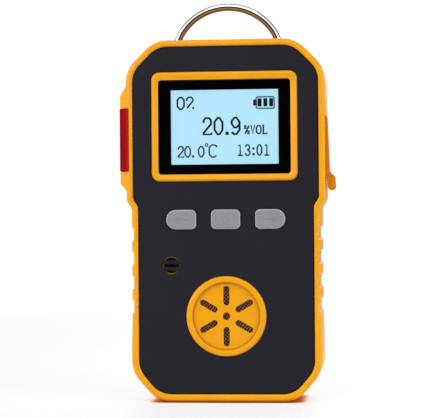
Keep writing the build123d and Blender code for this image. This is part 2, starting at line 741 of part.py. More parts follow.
def gas_sensor():
    """Round electrochemical cell with three pins."""
    back = SENSOR_FRONT + SENSOR_L
    solid = rod_y(0, SENSOR_Z, SENSOR_R, SENSOR_FRONT, back)
    solid = fillet(solid.edges(), 0.4)
    solid -= rod_y(0, SENSOR_Z, 2.0, SENSOR_FRONT - 1, SENSOR_FRONT + 0.8)
    for angle in (90, 210, 330):
        spot = Vector(6.7, 0).rotate(Axis.Z, angle)
        solid += rod_y(spot.X, SENSOR_Z + spot.Y, 0.75, back, SENSOR_BOARD_Y)
    return solid


def sensor_board():
    """Small board that the sensor's pins meet."""
    half = SENSOR_BOARD_HALF
    back = SENSOR_BOARD_Y + SENSOR_BOARD_T
    return block(-half, half, SENSOR_BOARD_Y, back, SENSOR_Z - half, SENSOR_Z + half)


# Vibration motor -----------------------------------------------------------------------------

def motor_case():
    """Small cylindrical motor."""
    solid = rod_z(MOTOR_X, MOTOR_Y, MOTOR_R, MOTOR_LOW_Z, MOTOR_HIGH_Z)
    solid = fillet(solid.edges(), 0.3)
    return solid - rod_z(MOTOR_X, MOTOR_Y, SHAFT_R + 0.05, MOTOR_LOW_Z - 1, SHAFT_TOP_Z + 0.3)


def motor_rotor():
    """Shaft with an off-centre half-round weight."""
    weight = rod_z(MOTOR_X, MOTOR_Y, ROTOR_R, ROTOR_LOW_Z, ROTOR_HIGH_Z)
    weight -= block(MOTOR_X - 5, MOTOR_X + 5, MOTOR_Y + 0.9, MOTOR_Y + 5, ROTOR_LOW_Z - 1, ROTOR_HIGH_Z + 1)
    return weight + rod_z(MOTOR_X, MOTOR_Y, SHAFT_R, ROTOR_LOW_Z, SHAFT_TOP_Z)


# Port cover ----------------------------------------------------------------------------------

def port_cover():
    """Soft cover over the charging port, with a plug boss and a drooping pull tab."""
    wall = UPPER_HALF_W
    profile = Polyline(
        (COVER_INNER, COVER_LOW_Z),
        (COVER_INNER, COVER_HIGH_Z - 0.4),
        (COVER_INNER + 0.4, COVER_HIGH_Z),
        (wall, COVER_HIGH_Z),
        (wall + COVER_OUT_TOP, COVER_HIGH_Z - 0.5),
        (wall + COVER_OUT_LOW, COVER_LOW_Z + 0.5),
        (wall + 0.6, COVER_LOW_Z),
        close=True,
    )
    solid = slab(make_face(profile), COVER_FRONT, COVER_BACK)
    upper = (wall + TAB_OUT, COVER_LOW_Z - TAB_DROP)
    lower = (wall + TAB_OUT + TAB_LEAN, COVER_LOW_Z - TAB_DROP - TAB_LENGTH)
    tab = trace(Line((wall + 0.9, COVER_LOW_Z + 0.9), upper), 1.8)
    tab += trace(Line(upper, lower), 2 * TAB_R - 0.1)
    tab += Pos(*upper) * Circle(TAB_R)
    tab += Pos(*lower) * Circle(TAB_R - 0.05)
    solid += slab(tab, COVER_FRONT + 1.2, COVER_BACK - 1.2)
    half = PORT_BOSS_H / 2
    mouth_y = BOARD_FRONT - USB_T / 2 - 0.2
    boss = block(PORT_BOSS_INNER, COVER_INNER + 0.5, mouth_y - 1.9, mouth_y + 1.9, PORT_Z - half, PORT_Z + half)
    return solid + boss


# Bail ----------------------------------------------------------------------------------------

def wire_bail():
    """Round wire loop: two turned-out pivots, short legs and a three-centred arch."""
    a = BAIL_HALF_W
    b = BAIL_RISE
    side_r = BAIL_SIDE_R
    top_r = ((a - side_r) ** 2 + b ** 2 - side_r ** 2) / (2 * (b - side_r))
    top_centre = b - top_r
    reach = Vector(a - side_r, -top_centre).normalized() * top_r
    join = (reach.X, BAIL_SPRING_Z + top_centre + reach.Y)
    side_mid = Vector(side_r, 0).rotate(Axis.Z, 0.5 * Vector(1, 0).get_angle(reach))
    side_point = (a - side_r + side_mid.X, BAIL_SPRING_Z + side_mid.Y)
    low = BAIL_PIVOT_Z
    bend = BAIL_BEND_R
    diagonal = bend * (1 - 0.5 ** 0.5)
    path = [
        Line((BAIL_PIN_END, low), (a + bend, low)),
        ThreePointArc((a + bend, low), (a + diagonal, low + diagonal), (a, low + bend)),
        Line((a, low + bend), (a, BAIL_SPRING_Z)),
        ThreePointArc((a, BAIL_SPRING_Z), side_point, join),
        ThreePointArc(join, (0, BAIL_SPRING_Z + b), (-join[0], join[1])),
        ThreePointArc((-join[0], join[1]), (-side_point[0], side_point[1]), (-a, BAIL_SPRING_Z)),
        Line((-a, BAIL_SPRING_Z), (-a, low + bend)),
        ThreePointArc((-a, low + bend), (-a - diagonal, low + diagonal), (-a - bend, low)),
        Line((-a - bend, low), (-BAIL_PIN_END, low)),
    ]
    route = Plane.XZ * Wire([edge for part in path for edge in part.edges()])
    start = Plane(origin=(BAIL_PIN_END, 0, low), z_dir=(-1, 0, 0))
    return sweep(start * Circle(WIRE_R), path=route)


# Belt clip -----------------------------------------------------------------------------------

def clip_plate():
    """Steel base plate with two ears for the pivot pin."""
    low = CASE_BACK
    high = CASE_BACK + PLATE_T
    middle = (PLATE_LOW_Z + PLATE_HIGH_Z) / 2
    plate = round_rectangle(2 * PLATE_HALF_W, PLATE_HIGH_Z - PLATE_LOW_Z, 2.5, 0, middle)
    solid = slab(plate, low, high)
    ear = Pos(PIVOT_Y, PIVOT_Z) * Circle(EAR_R)
    ear += Pos((low + PIVOT_Y) / 2, PIVOT_Z) * Rectangle(PIVOT_Y - low, 2 * EAR_R)
    for x in (-PLATE_HALF_W, PLATE_HALF_W - EAR_T):
        solid += bar(ear, x, x + EAR_T)
    solid -= rod_x(PIVOT_Y, PIVOT_Z, CLIP_PIN_R + 0.03, -PLATE_HALF_W - 1, PLATE_HALF_W + 1)
    for z in CLIP_SCREW_Z:
        solid -= rod_y(0, z, CLIP_SCREW_R + 0.05, low - 1, high + 1)
    return solid


def clip_screw(z):
    """Round-head screw that holds the clip's plate."""
    seat = CASE_BACK + PLATE_T
    solid = rod_y(0, z, CLIP_SCREW_R, CLIP_SCREW_TIP, seat)
    head = rod_y(0, z, CLIP_SCREW_HEAD_R, seat, seat + CLIP_SCREW_HEAD_T)
    head = fillet(head.edges().sort_by(Axis.Y)[-1], 0.7)
    solid += head
    top = seat + CLIP_SCREW_HEAD_T
    solid -= block(-1.7, 1.7, top - 0.7, top + 1, z - 0.3, z + 0.3)
    return solid - block(-0.3, 0.3, top - 0.7, top + 1, z - 1.7, z + 1.7)


def clip_pin():
    """Pivot pin with a head at each end."""
    solid = rod_x(PIVOT_Y, PIVOT_Z, CLIP_PIN_R, -PLATE_HALF_W, PLATE_HALF_W)
    for side in (-1, 1):
        near = side * (PLATE_HALF_W + 0.05)
        far = side * (PLATE_HALF_W + 0.05 + CLIP_HEAD_T)
        solid += rod_x(PIVOT_Y, PIVOT_Z, CLIP_PIN_R, min(near, 0), max(near, 0))
        solid += rod_x(PIVOT_Y, PIVOT_Z, CLIP_HEAD_R, min(near, far), max(near, far))
    return solid


def clip_lever():
    """Sprung steel lever: thumb tab at the top, jaw at the bottom, flanges at the pivot."""
    path = FilletPolyline((27.8, 111), (LEVER_Y, 95), (LEVER_Y, 66), (17.0, 55.5), (19.4, 51), radius=2.2)
    solid = bar(trace(path, LEVER_T), -LEVER_HALF_W, LEVER_HALF_W)
    flange = Pos(PIVOT_Y, PIVOT_Z) * Circle(EAR_R - 0.6)
    flange += Pos((PIVOT_Y + LEVER_Y) / 2, PIVOT_Z) * Rectangle(LEVER_Y - PIVOT_Y, 2 * EAR_R - 1.2)
    for x in (-LEVER_HALF_W, LEVER_HALF_W - LEVER_T):
        solid += bar(flange, x, x + LEVER_T)
    return solid - rod_x(PIVOT_Y, PIVOT_Z, CLIP_PIN_R + 0.06, -LEVER_HALF_W - 1, LEVER_HALF_W + 1)


def clip_spring():
    """Torsion spring on the pin, as a plain sleeve with one leg on the plate and one on the lever."""
    half = SPRING_LENGTH / 2
    solid = rod_x(PIVOT_Y, PIVOT_Z, SPRING_OUTER_R, -half, half)
    solid -= rod_x(PIVOT_Y, PIVOT_Z, SPRING_INNER_R, -half - 1, half + 1)
    top = PIVOT_Z + SPRING_LEG_LENGTH
    plate_side = CASE_BACK + PLATE_T + 0.3
    inner_edge = half - SPRING_WIRE
    solid += block(-half, -inner_edge, plate_side, plate_side + SPRING_WIRE, PIVOT_Z, top)
    bridge_z = PIVOT_Z + SPRING_INNER_R + 0.1
    solid += block(-half, -inner_edge, plate_side, PIVOT_Y, bridge_z, bridge_z + 0.85)
    lever_side = LEVER_Y - LEVER_T / 2 - 0.2
    return solid + block(inner_edge, half, lever_side - SPRING_WIRE, lever_side, PIVOT_Z, top)


def build_parts():
    """Return every sub-part by node name."""
    parts = {
        "front_shell": front_shell(),
        "front_skin": front_skin(),
        "case_seal": case_seal(),
        "rear_shell": rear_shell(),
        "rear_pad": rear_pad(),
        "display_window": display_window(),
        "window_mask": window_mask(),
        "lcd_panel": lcd_panel(),
        "lcd_backlight": lcd_backlight(),
        "lcd_holder": lcd_holder(),
        "keypad_frame": keypad_frame(),
        "main_board": main_board(),
        "controller_chip": controller_chip(),
        "charger_chip": charger_chip(),
        "battery_connector": battery_connector(),
        "battery_pack": battery_pack(),
        "buzzer": buzzer(),
        "usb_socket": usb_socket(),
        "alarm_board": alarm_board(),
        "alarm_led_1": alarm_led(89.0),
        "alarm_led_2": alarm_led(99.0),
        "alarm_lens": alarm_lens(),
        "sensor_cap": sensor_cap(),
        "sensor_mesh": sensor_mesh(),
        "dust_filter": dust_filter(),
        "sensor_gasket": sensor_gasket(),
        "gas_sensor": gas_sensor(),
        "sensor_board": sensor_board(),
        "motor_case": motor_case(),
        "motor_rotor": motor_rotor(),
        "port_cover": port_cover(),
        "wire_bail": wire_bail(),
        "clip_plate": clip_plate(),
        "clip_pin": clip_pin(),
        "clip_lever": clip_lever(),
        "clip_spring": clip_spring(),
    }
    for name, x in (("left", -KEY_PITCH), ("power", 0.0), ("right", KEY_PITCH)):
        parts["key_" + name] = key(name)
        parts["switch_" + name] = key_switch(x)
    for index, (x, z) in enumerate(SCREW_POINTS, 1):
        parts["case_screw_" + str(index)] = case_screw(x, z)
    for index, z in enumerate(CLIP_SCREW_Z, 1):
        parts["clip_screw_" + str(index)] = clip_screw(z)
    return parts


def main():
    """Write one STEP file for each sub-part."""
    os.makedirs("parts", exist_ok=True)
    for name, solid in build_parts().items():
        export_step(solid, "parts/" + name + ".step")


if __name__ == "__main__":
    main()
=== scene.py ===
"""Portable gas detector: finishes, fine parts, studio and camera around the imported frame."""

import logging
import math
from dataclasses import dataclass, field
from enum import Enum
from typing import Any, Iterable, Optional, Sequence

import bmesh
import bpy
from mathutils import Matrix, Quaternion, Vector


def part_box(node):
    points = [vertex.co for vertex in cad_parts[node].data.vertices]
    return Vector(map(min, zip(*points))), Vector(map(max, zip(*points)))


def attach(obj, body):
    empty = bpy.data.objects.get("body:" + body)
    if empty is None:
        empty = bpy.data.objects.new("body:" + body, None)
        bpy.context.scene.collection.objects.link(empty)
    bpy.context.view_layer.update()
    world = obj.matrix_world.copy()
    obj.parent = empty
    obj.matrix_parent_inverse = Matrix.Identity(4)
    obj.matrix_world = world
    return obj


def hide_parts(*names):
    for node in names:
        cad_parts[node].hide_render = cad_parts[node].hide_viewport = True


LOG = logging.getLogger("detector")
MM = 0.001

# Most of a noise texture's values lie between these.
NOISE_LOW = 0.3
NOISE_HIGH = 0.7
GRAIN_DETAIL = 2.0
SCRATCH_DETAIL = 3.0
WHITE = (1.0, 1.0, 1.0, 1.0)
# Points closer than this are one: in a new piece, and in a node's loose triangles.
FINE_WELD = 1e-7
NODE_WELD = 1e-6

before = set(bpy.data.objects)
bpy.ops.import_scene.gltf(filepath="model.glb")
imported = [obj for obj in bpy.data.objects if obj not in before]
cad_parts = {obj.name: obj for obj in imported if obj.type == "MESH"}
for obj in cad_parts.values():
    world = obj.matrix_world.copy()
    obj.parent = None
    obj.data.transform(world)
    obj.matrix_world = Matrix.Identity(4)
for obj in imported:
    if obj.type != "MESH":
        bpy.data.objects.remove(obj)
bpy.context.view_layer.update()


# Helpers -------------------------------------------------------------------------------------

def linear(hex_colour: str) -> tuple[float, float, float, float]:
    """Turn an sRGB hex colour into linear RGBA.

    Args:
        hex_colour: Six hex digits, such as "f9a90a".

    Returns:
        Linear red, green and blue with an alpha of 1.
    """
    channels = [int(hex_colour[i:i + 2], 16) / 255 for i in (0, 2, 4)]
    converted = [c / 12.92 if c <= 0.04045 else ((c + 0.055) / 1.055) ** 2.4 for c in channels]
    return (converted[0], converted[1], converted[2], 1.0)


def add_node(
    tree: bpy.types.NodeTree,
    kind: str,
    settings: Optional[dict[str, Any]] = None,
    inputs: Optional[dict[Any, Any]] = None,
    stops: Sequence[tuple[float, Any]] = (),
) -> bpy.types.Node:
    """Add a node, set it and link it.

    Args:
        tree: Node tree that receives the node.
        kind: Node type, such as "ShaderNodeBump".
        settings: Attributes of the node.
        inputs: Values or output sockets for the node's inputs, by name or index.
        stops: Position and linear colour of each stop of a colour ramp.

    Returns:
        The new node.
    """
    node = tree.nodes.new(kind)
    for name, value in (settings or {}).items():
        setattr(node, name, value)
    for name, value in (inputs or {}).items():
        if isinstance(value, bpy.types.NodeSocket):
            tree.links.new(value, node.inputs[name])
        else:
            node.inputs[name].default_value = value
    if stops:
        elements = node.color_ramp.elements
        elements[0].position, elements[0].color = stops[0]
        elements[1].position, elements[1].color = stops[-1]
        for position, colour in stops[1:-1]:
            elements.new(position).color = colour
    return node


def blank_material(name: str) -> bpy.types.Material:
    """Make a material with an empty node tree.

    Args:
        name: Name of the material.

    Returns:
        The material.
    """
    material = bpy.data.materials.new(name)
    material.use_nodes = True
    material.node_tree.nodes.clear()
    return material


def shade(colour: Sequence[float], factor: float) -> tuple[float, float, float, float]:
    """Scale a linear colour.

    Args:
        colour: Linear colour.
        factor: Multiplier of its red, green and blue.

    Returns:
        The scaled colour with an alpha of 1.
    """
    return (colour[0] * factor, colour[1] * factor, colour[2] * factor, 1.0)


# Finishes ------------------------------------------------------------------------------------

@dataclass(frozen=True)
class Finish:
    """A surface with a fine grain, an uneven tone and its own gloss.

    Painted shade: creases within the crease reach darken down to the crease tone, and faces that slope
    away from the front take the slope tone as a factor on their colour, painted light or shade on their
    edges.
    """

    name: str
    colour: str
    roughness: float
    grain_mm: float = 0.45
    relief_mm: float = 0.006
    unevenness: float = 0.04
    metallic: float = 0.0
    ior: float = 1.5
    stretch: tuple[float, float, float] = (1.0, 1.0, 1.0)
    specular: float = 0.5
    glow: float = 0.0
    subsurface: float = 0.0
    painted_slope_tone: float = 1.0
    shade_crease_mm: float = 0.0
    crease_shade_tone: float = 0.45
    crease_shade_openness: tuple[float, float] = (0.3, 0.9)
    slope_facing: tuple[float, float] = (-0.99, -0.80)
    grain_roughness: float = 0.55
    cloud_mm: float = 18.0
    gloss_spread: float = 0.05
    gloss_floor: float = 0.02
    bump_strength: float = 0.6
    scatter_mm: tuple[float, float, float] = (0.6, 0.3, 0.1)

    def build(self) -> bpy.types.Material:
        """Make the material.

        Returns:
            The material, with its grain on Object coordinates.
        """
        material = blank_material(self.name)
        tree = material.node_tree
        source = add_node(tree, "ShaderNodeTexCoord").outputs
        place, normal = source["Object"], source["Normal"]
        along = add_node(tree, "ShaderNodeMapping", inputs={"Vector": place, "Scale": self.stretch})
        grain = add_node(
            tree, "ShaderNodeTexNoise",
            inputs={"Vector": along.outputs["Vector"], "Scale": 1 / (self.grain_mm * MM),
                    "Detail": GRAIN_DETAIL, "Roughness": self.grain_roughness},
        ).outputs["Fac"]
        cloud = add_node(
            tree, "ShaderNodeTexNoise",
            inputs={"Vector": place, "Scale": 1 / (self.cloud_mm * MM), "Detail": GRAIN_DETAIL},
        ).outputs["Fac"]
        base = linear(self.colour)
        tone = add_node(tree, "ShaderNodeValToRGB", inputs={"Fac": cloud}, stops=[
            (NOISE_LOW, shade(base, 1 - self.unevenness)),
            (NOISE_HIGH, shade(base, 1 + self.unevenness)),
        ]).outputs["Color"]
        # Painted shade: ambient occlusion darkens the colour in creases and at the foot of raised parts.
        if self.shade_crease_mm:
            openness = add_node(
                tree, "ShaderNodeAmbientOcclusion", {"samples": 8}, {"Distance": self.shade_crease_mm * MM}
            ).outputs["AO"]
            painted_crease_shade = add_node(
                tree, "ShaderNodeMapRange",
                inputs={"Value": openness, "From Min": self.crease_shade_openness[0],
                        "From Max": self.crease_shade_openness[1], "To Min": self.crease_shade_tone},
            ).outputs["Result"]
            tone = add_node(
                tree, "ShaderNodeVectorMath", {"operation": "SCALE"}, {0: tone, "Scale": painted_crease_shade}
            ).outputs[0]
        # Painted light and shade: faces that slope away from the front are made lighter or darker.
        if self.painted_slope_tone != 1.0:
            facing = add_node(tree, "ShaderNodeSeparateXYZ", inputs={0: normal}).outputs["Y"]
            lift = add_node(
                tree, "ShaderNodeMapRange",
                inputs={"Value": facing, "From Min": self.slope_facing[0],
                        "From Max": self.slope_facing[1], "To Min": 1.0, "To Max": self.painted_slope_tone},
            ).outputs["Result"]
            tone = add_node(
                tree, "ShaderNodeVectorMath", {"operation": "SCALE"}, {0: tone, "Scale": lift}
            ).outputs[0]
        gloss = add_node(
            tree, "ShaderNodeMapRange",
            inputs={"Value": grain, "From Min": NOISE_LOW, "From Max": NOISE_HIGH,
                    "To Min": max(self.gloss_floor, self.roughness - self.gloss_spread),
                    "To Max": self.roughness + self.gloss_spread},
        ).outputs["Result"]
        bump = add_node(
            tree, "ShaderNodeBump",
            inputs={"Strength": self.bump_strength, "Distance": self.relief_mm * MM, "Height": grain},
        ).outputs["Normal"]
        shader = add_node(
            tree, "ShaderNodeBsdfPrincipled",
            inputs={
                "Base Color": tone, "Roughness": gloss, "Normal": bump, "Metallic": self.metallic,
                "IOR": self.ior, "Specular IOR Level": self.specular,
                "Emission Color": base, "Emission Strength": self.glow,
                "Subsurface Weight": self.subsurface,
                "Subsurface Radius": [depth * MM for depth in self.scatter_mm],
                "Subsurface Scale": 1.0,
            },
        )
        add_node(tree, "ShaderNodeOutputMaterial", inputs={"Surface": shader.outputs[0]})
        return material


@dataclass(frozen=True)
class ClearPane:
    """Clear acrylic pane: a weak reflection on its faces, black ink on its edges."""

    name: str = "clear_acrylic_cast_sheet"
    edge_ink: str = "020202"
    reflection_ior: float = 1.1
    clarity: tuple[float, float, float, float] = (0.98, 0.99, 1.0, 1.0)
    smear_mm: float = 6.0
    smear_gloss: tuple[float, float] = (0.02, 0.08)
    face_squared: float = 0.5

    def build(self) -> bpy.types.Material:
        """Make the material.

        Returns:
            A clear and glossy mix on the faces, and ink where the surface turns to the edge.
        """
        material = blank_material(self.name)
        tree = material.node_tree
        source = add_node(tree, "ShaderNodeTexCoord").outputs
        smear = add_node(
            tree, "ShaderNodeTexNoise",
            inputs={"Vector": source["Object"], "Scale": 1 / (self.smear_mm * MM),
                    "Detail": SCRATCH_DETAIL},
        ).outputs["Fac"]
        gloss = add_node(
            tree, "ShaderNodeMapRange",
            inputs={"Value": smear, "To Min": self.smear_gloss[0], "To Max": self.smear_gloss[1]},
        ).outputs["Result"]
        fresnel = add_node(tree, "ShaderNodeFresnel", inputs={"IOR": self.reflection_ior}).outputs["Fac"]
        clear = add_node(tree, "ShaderNodeBsdfTransparent", inputs={"Color": self.clarity})
        mirror = add_node(tree, "ShaderNodeBsdfGlossy", inputs={"Roughness": gloss})
        pane = add_node(
            tree, "ShaderNodeMixShader", inputs={0: fresnel, 1: clear.outputs[0], 2: mirror.outputs[0]}
        )
        ink = add_node(tree, "ShaderNodeBsdfDiffuse", inputs={"Color": linear(self.edge_ink)})
        facing = add_node(tree, "ShaderNodeSeparateXYZ", inputs={0: source["Normal"]}).outputs["Y"]
        square = add_node(
            tree, "ShaderNodeMath", {"operation": "MULTIPLY"}, {0: facing, 1: facing}
        ).outputs[0]
        face = add_node(
            tree, "ShaderNodeMath", {"operation": "GREATER_THAN"}, {0: square, 1: self.face_squared}
        ).outputs[0]
        mixed = add_node(
            tree, "ShaderNodeMixShader", inputs={0: face, 1: ink.outputs[0], 2: pane.outputs[0]}
        )
        add_node(tree, "ShaderNodeOutputMaterial", inputs={"Surface": mixed.outputs[0]})
        return material


@dataclass(frozen=True)
class ReflectionBandedChrome:
    """Chromed wire in bands of painted reflection: warm brown inside the loop, a dark line on its outer
    edge.
    """

    name: str = "chromed_wire_painted_reflections"
    centre_mm: float = 124.0
    scratch_mm: float = 0.8
    scratch_gloss: tuple[float, float] = (0.06, 0.16)
    specular: float = 0.1
    # Painted reflection colours, from the side that faces the loop's centre (0) to the outermost line
    # (1).
    bands: tuple[tuple[float, str], ...] = (
        (0.0, "2c2016"), (0.05, "3a2a18"), (0.11, "94703e"), (0.36, "a07c48"), (0.42, "2a2320"),
        (0.50, "3a3634"), (0.56, "f2f2f3"), (0.86, "f4f4f6"), (0.90, "2c2c36"), (1.0, "22222a"),
    )
    # Share of metal across the same bands of painted reflection.
    band_metal_share: tuple[tuple[float, float], ...] = (
        (0.0, 0.3), (0.42, 0.3), (0.52, 1.0), (0.86, 1.0), (0.90, 0.0),
    )

    def build(self) -> bpy.types.Material:
        """Make the material.

        Returns:
            A metal whose colour, a painted reflection, follows how far the surface turns away from the
            loop's centre.
        """
        material = blank_material(self.name)
        tree = material.node_tree
        source = add_node(tree, "ShaderNodeTexCoord").outputs
        centred = add_node(
            tree, "ShaderNodeMapping",
            inputs={"Vector": source["Object"], "Location": (0, 0, -self.centre_mm * MM),
                    "Scale": (1, 0, 1)},
        ).outputs["Vector"]
        outward = add_node(
            tree, "ShaderNodeVectorMath", {"operation": "NORMALIZE"}, {0: centred}
        ).outputs[0]
        turned = add_node(
            tree, "ShaderNodeVectorMath", {"operation": "DOT_PRODUCT"}, {0: outward, 1: source["Normal"]}
        ).outputs["Value"]
        across = add_node(
            tree, "ShaderNodeMapRange", inputs={"Value": turned, "From Min": -1.0}
        ).outputs["Result"]
        tone = add_node(
            tree, "ShaderNodeValToRGB", inputs={"Fac": across},
            stops=[(stop, linear(colour)) for stop, colour in self.bands],
        ).outputs["Color"]
        metal_share = add_node(
            tree, "ShaderNodeValToRGB", inputs={"Fac": across},
            stops=[(stop, shade(WHITE, share)) for stop, share in self.band_metal_share],
        ).outputs["Color"]
        scratch = add_node(
            tree, "ShaderNodeTexNoise",
            inputs={"Vector": source["Object"], "Scale": 1 / (self.scratch_mm * MM),
                    "Detail": SCRATCH_DETAIL},
        ).outputs["Fac"]
        gloss = add_node(
            tree, "ShaderNodeMapRange",
            inputs={"Value": scratch, "To Min": self.scratch_gloss[0], "To Max": self.scratch_gloss[1]},
        ).outputs["Result"]
        metal = add_node(
            tree, "ShaderNodeBsdfPrincipled",
            inputs={"Base Color": tone, "Metallic": metal_share, "Roughness": gloss,
                    "Specular IOR Level": self.specular},
        )
        add_node(tree, "ShaderNodeOutputMaterial", inputs={"Surface": metal.outputs[0]})
        return material


class Stock(Enum):
    """Every finish of the detector."""

    # Satin injection-moulded shell: warm, even orange with a soft wide highlight, and painted shade in
    # its creases.
    ORANGE_ABS = Finish("orange_abs_satin_moulded", "e69d05", 0.34, grain_mm=0.5, relief_mm=0.004,
                        specular=0.22, shade_crease_mm=1.2)
    # Overmoulded thermoplastic rubber: near-black, slightly blue, very soft reflections, and painted
    # shade in its creases.
    DARK_TPE = Finish("charcoal_tpe_soft_moulded", "191821", 0.62, grain_mm=0.5, relief_mm=0.006,
                      specular=0.15, shade_crease_mm=1.0)
    # Softer rubber of the cover: deeper orange than the shell and less glossy.
    COVER_RUBBER = Finish("orange_rubber_moulded", "d67a08", 0.5, grain_mm=0.5, relief_mm=0.006,
                          specular=0.2)
    # Black rubber cord in the shell's seam.
    SEAL_RUBBER = Finish("black_epdm_extruded", "0c0c0d", 0.6, relief_mm=0.004)
    # Black ink under the pane: deep and even.
    BLACK_PRINT = Finish("black_screen_print", "020202", 0.2, relief_mm=0.0, specular=0.02)
    # Lit liquid crystal: pale blue with its own soft light.
    LCD_GLASS = Finish("lcd_polariser_film", "aed9e9", 0.5, relief_mm=0.0, unevenness=0.012, specular=0.1,
                       glow=0.29)
    # Dark segments of the liquid crystal.
    LCD_INK = Finish("lcd_dark_segments", "0c151b", 0.6, relief_mm=0.0, specular=0.1)
    # Segments seen through less ink: a grey-blue outline.
    LCD_FAINT_INK = Finish("lcd_half_dark_segments", "56707c", 0.6, relief_mm=0.0, specular=0.1)
    # Milky acrylic light guide.
    LIGHT_GUIDE = Finish("milky_acrylic_moulded", "e8ecef", 0.3)
    # White nylon of the tray and the cell body.
    WHITE_NYLON = Finish("white_nylon_moulded", "dcdad2", 0.45)
    # Silicone keys: mid grey, satin, a little translucent; a painted highlight lightens their sloped
    # edges.
    GREY_SILICONE = Finish("grey_silicone_moulded", "85848b", 0.5, relief_mm=0.004, subsurface=0.05,
                           painted_slope_tone=1.6)
    # Faint printed marks on the keys.
    KEY_PRINT = Finish("dark_grey_pad_print", "818087", 0.55, relief_mm=0.0)
    # Glass fibre board under green solder mask.
    GREEN_BOARD = Finish("green_solder_mask_fr4", "0f5a2c", 0.35, grain_mm=1.2, relief_mm=0.01,
                         unevenness=0.12)
    # Black moulded packages and the sounder.
    BLACK_NYLON = Finish("black_nylon_moulded", "131314", 0.5)
    # Foil wrap of the flat cell.
    CELL_FOIL = Finish("cell_foil_laminate", "b8bcc2", 0.35, grain_mm=2.0, relief_mm=0.03, metallic=0.9)
    # Zinc-nickel plated steel: bright, slightly warm, with a drawn grain.
    PLATED_STEEL = Finish("nickel_plated_steel_pressed", "b9b8b3", 0.26, grain_mm=0.25, relief_mm=0.0008,
                          metallic=1.0, stretch=(1.0, 1.0, 0.08))
    # Hard spring steel, darker than the plate.
    SPRING_STEEL = Finish("spring_steel_drawn", "8f8f90", 0.3, metallic=1.0, relief_mm=0.003)
    # Chromed steel wire: bright along its middle, with warm and dark bands of painted reflection that are
    # set by direction.
    CHROME_WIRE = ReflectionBandedChrome()
    # Clear red polycarbonate: deep colour under a hard gloss; painted shade darkens its sloped faces, so
    # that its front strip stands as a painted highlight.
    RED_LENS = Finish("red_polycarbonate_moulded", "ba101a", 0.3, relief_mm=0.001, specular=0.02,
                      painted_slope_tone=0.5)
    # Clear epoxy of the diodes.
    LED_EPOXY = Finish("clear_epoxy_cast", "e6dfc8", 0.15)
    # Woven stainless cloth, made brown by a painted reflection of the orange walls around it.
    WIRE_CLOTH = Finish("stainless_wire_cloth_woven", "a8794c", 0.35, metallic=1.0, relief_mm=0.001)
    # Closed-cell foam.
    FOAM = Finish("black_foam_die_cut", "151515", 0.85, grain_mm=0.5, relief_mm=0.03)
    # Clear cast acrylic: nearly unseen but for its inked edge.
    CLEAR_PANE = ClearPane()


class Wardrobe:
    """Builds each finish once and puts it on pieces."""

    def __init__(self) -> None:
        """Start with no material made."""
        self.made: dict[Stock, bpy.types.Material] = {}

    def material(self, stock: Stock) -> bpy.types.Material:
        """Find the material of a finish, made on first use.

        Args:
            stock: The finish.

        Returns:
            Its material.
        """
        if stock not in self.made:
            self.made[stock] = stock.value.build()
        return self.made[stock]

    def dress(self, obj: bpy.types.Object, stock: Stock) -> None:
        """Give a piece or CAD node one finish.

        Args:
            obj: Piece or CAD node.
            stock: Its finish.
        """
        obj.data.materials.clear()
        obj.data.materials.append(self.material(stock))


WARDROBE = Wardrobe()


# Mesh helpers --------------------------------------------------------------------------------

def piece_from_bmesh(
    name: str, mesh_data: bmesh.types.BMesh, stock: Stock, body: str,
) -> bpy.types.Object:
    """Turn a bmesh into a dressed piece that rides on a body.

    Args:
        name: Name of the piece.
        mesh_data: Finished bmesh; it is freed here.
        stock: Finish of the piece.
        body: Body that carries the piece.

    Returns:
        The new object.
    """
    bmesh.ops.remove_doubles(mesh_data, verts=mesh_data.verts, dist=FINE_WELD)
    bmesh.ops.recalc_face_normals(mesh_data, faces=mesh_data.faces)
    mesh = bpy.data.meshes.new(name)
    mesh_data.to_mesh(mesh)
    mesh_data.free()
    obj = bpy.data.objects.new(name, mesh)
    bpy.context.scene.collection.objects.link(obj)
    WARDROBE.dress(obj, stock)
    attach(obj, body)
    LOG.info("%s: %d faces", name, len(mesh.polygons))
    return obj


def smooth_copy(
    node: str, stock: Stock, body: str = "case", sharp_deg: float = 32.0, behind: float = 0.0,
) -> bpy.types.Object:
    """Weld a CAD node's triangles into one smooth piece that stands for the node.

    Args:
        node: Name of the node.
        stock: Finish of the piece.
        body: Body that carries it.
        sharp_deg: Edges that turn more than this stay sharp.
        behind: Metres by which it lies further back, clear of a face that it touches.

    Returns:
        The piece.
    """
    welded = bmesh.new()
    welded.from_mesh(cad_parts[node].data)
    bmesh.ops.remove_doubles(welded, verts=welded.verts, dist=NODE_WELD)
    bmesh.ops.translate(welded, vec=(0, behind, 0), verts=welded.verts)
    for edge in welded.edges:
        edge.smooth = len(edge.link_faces) == 2 and edge.calc_face_angle() < math.radians(sharp_deg)
    for face in welded.faces:
        face.smooth = True
    piece = piece_from_bmesh(node + "_smooth", welded, stock, body)
    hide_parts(node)
    return piece


@dataclass
class Stroke:
    """One drawn line: its points and whether it closes."""

    points: Sequence[Sequence[float]]
    closed: bool = False


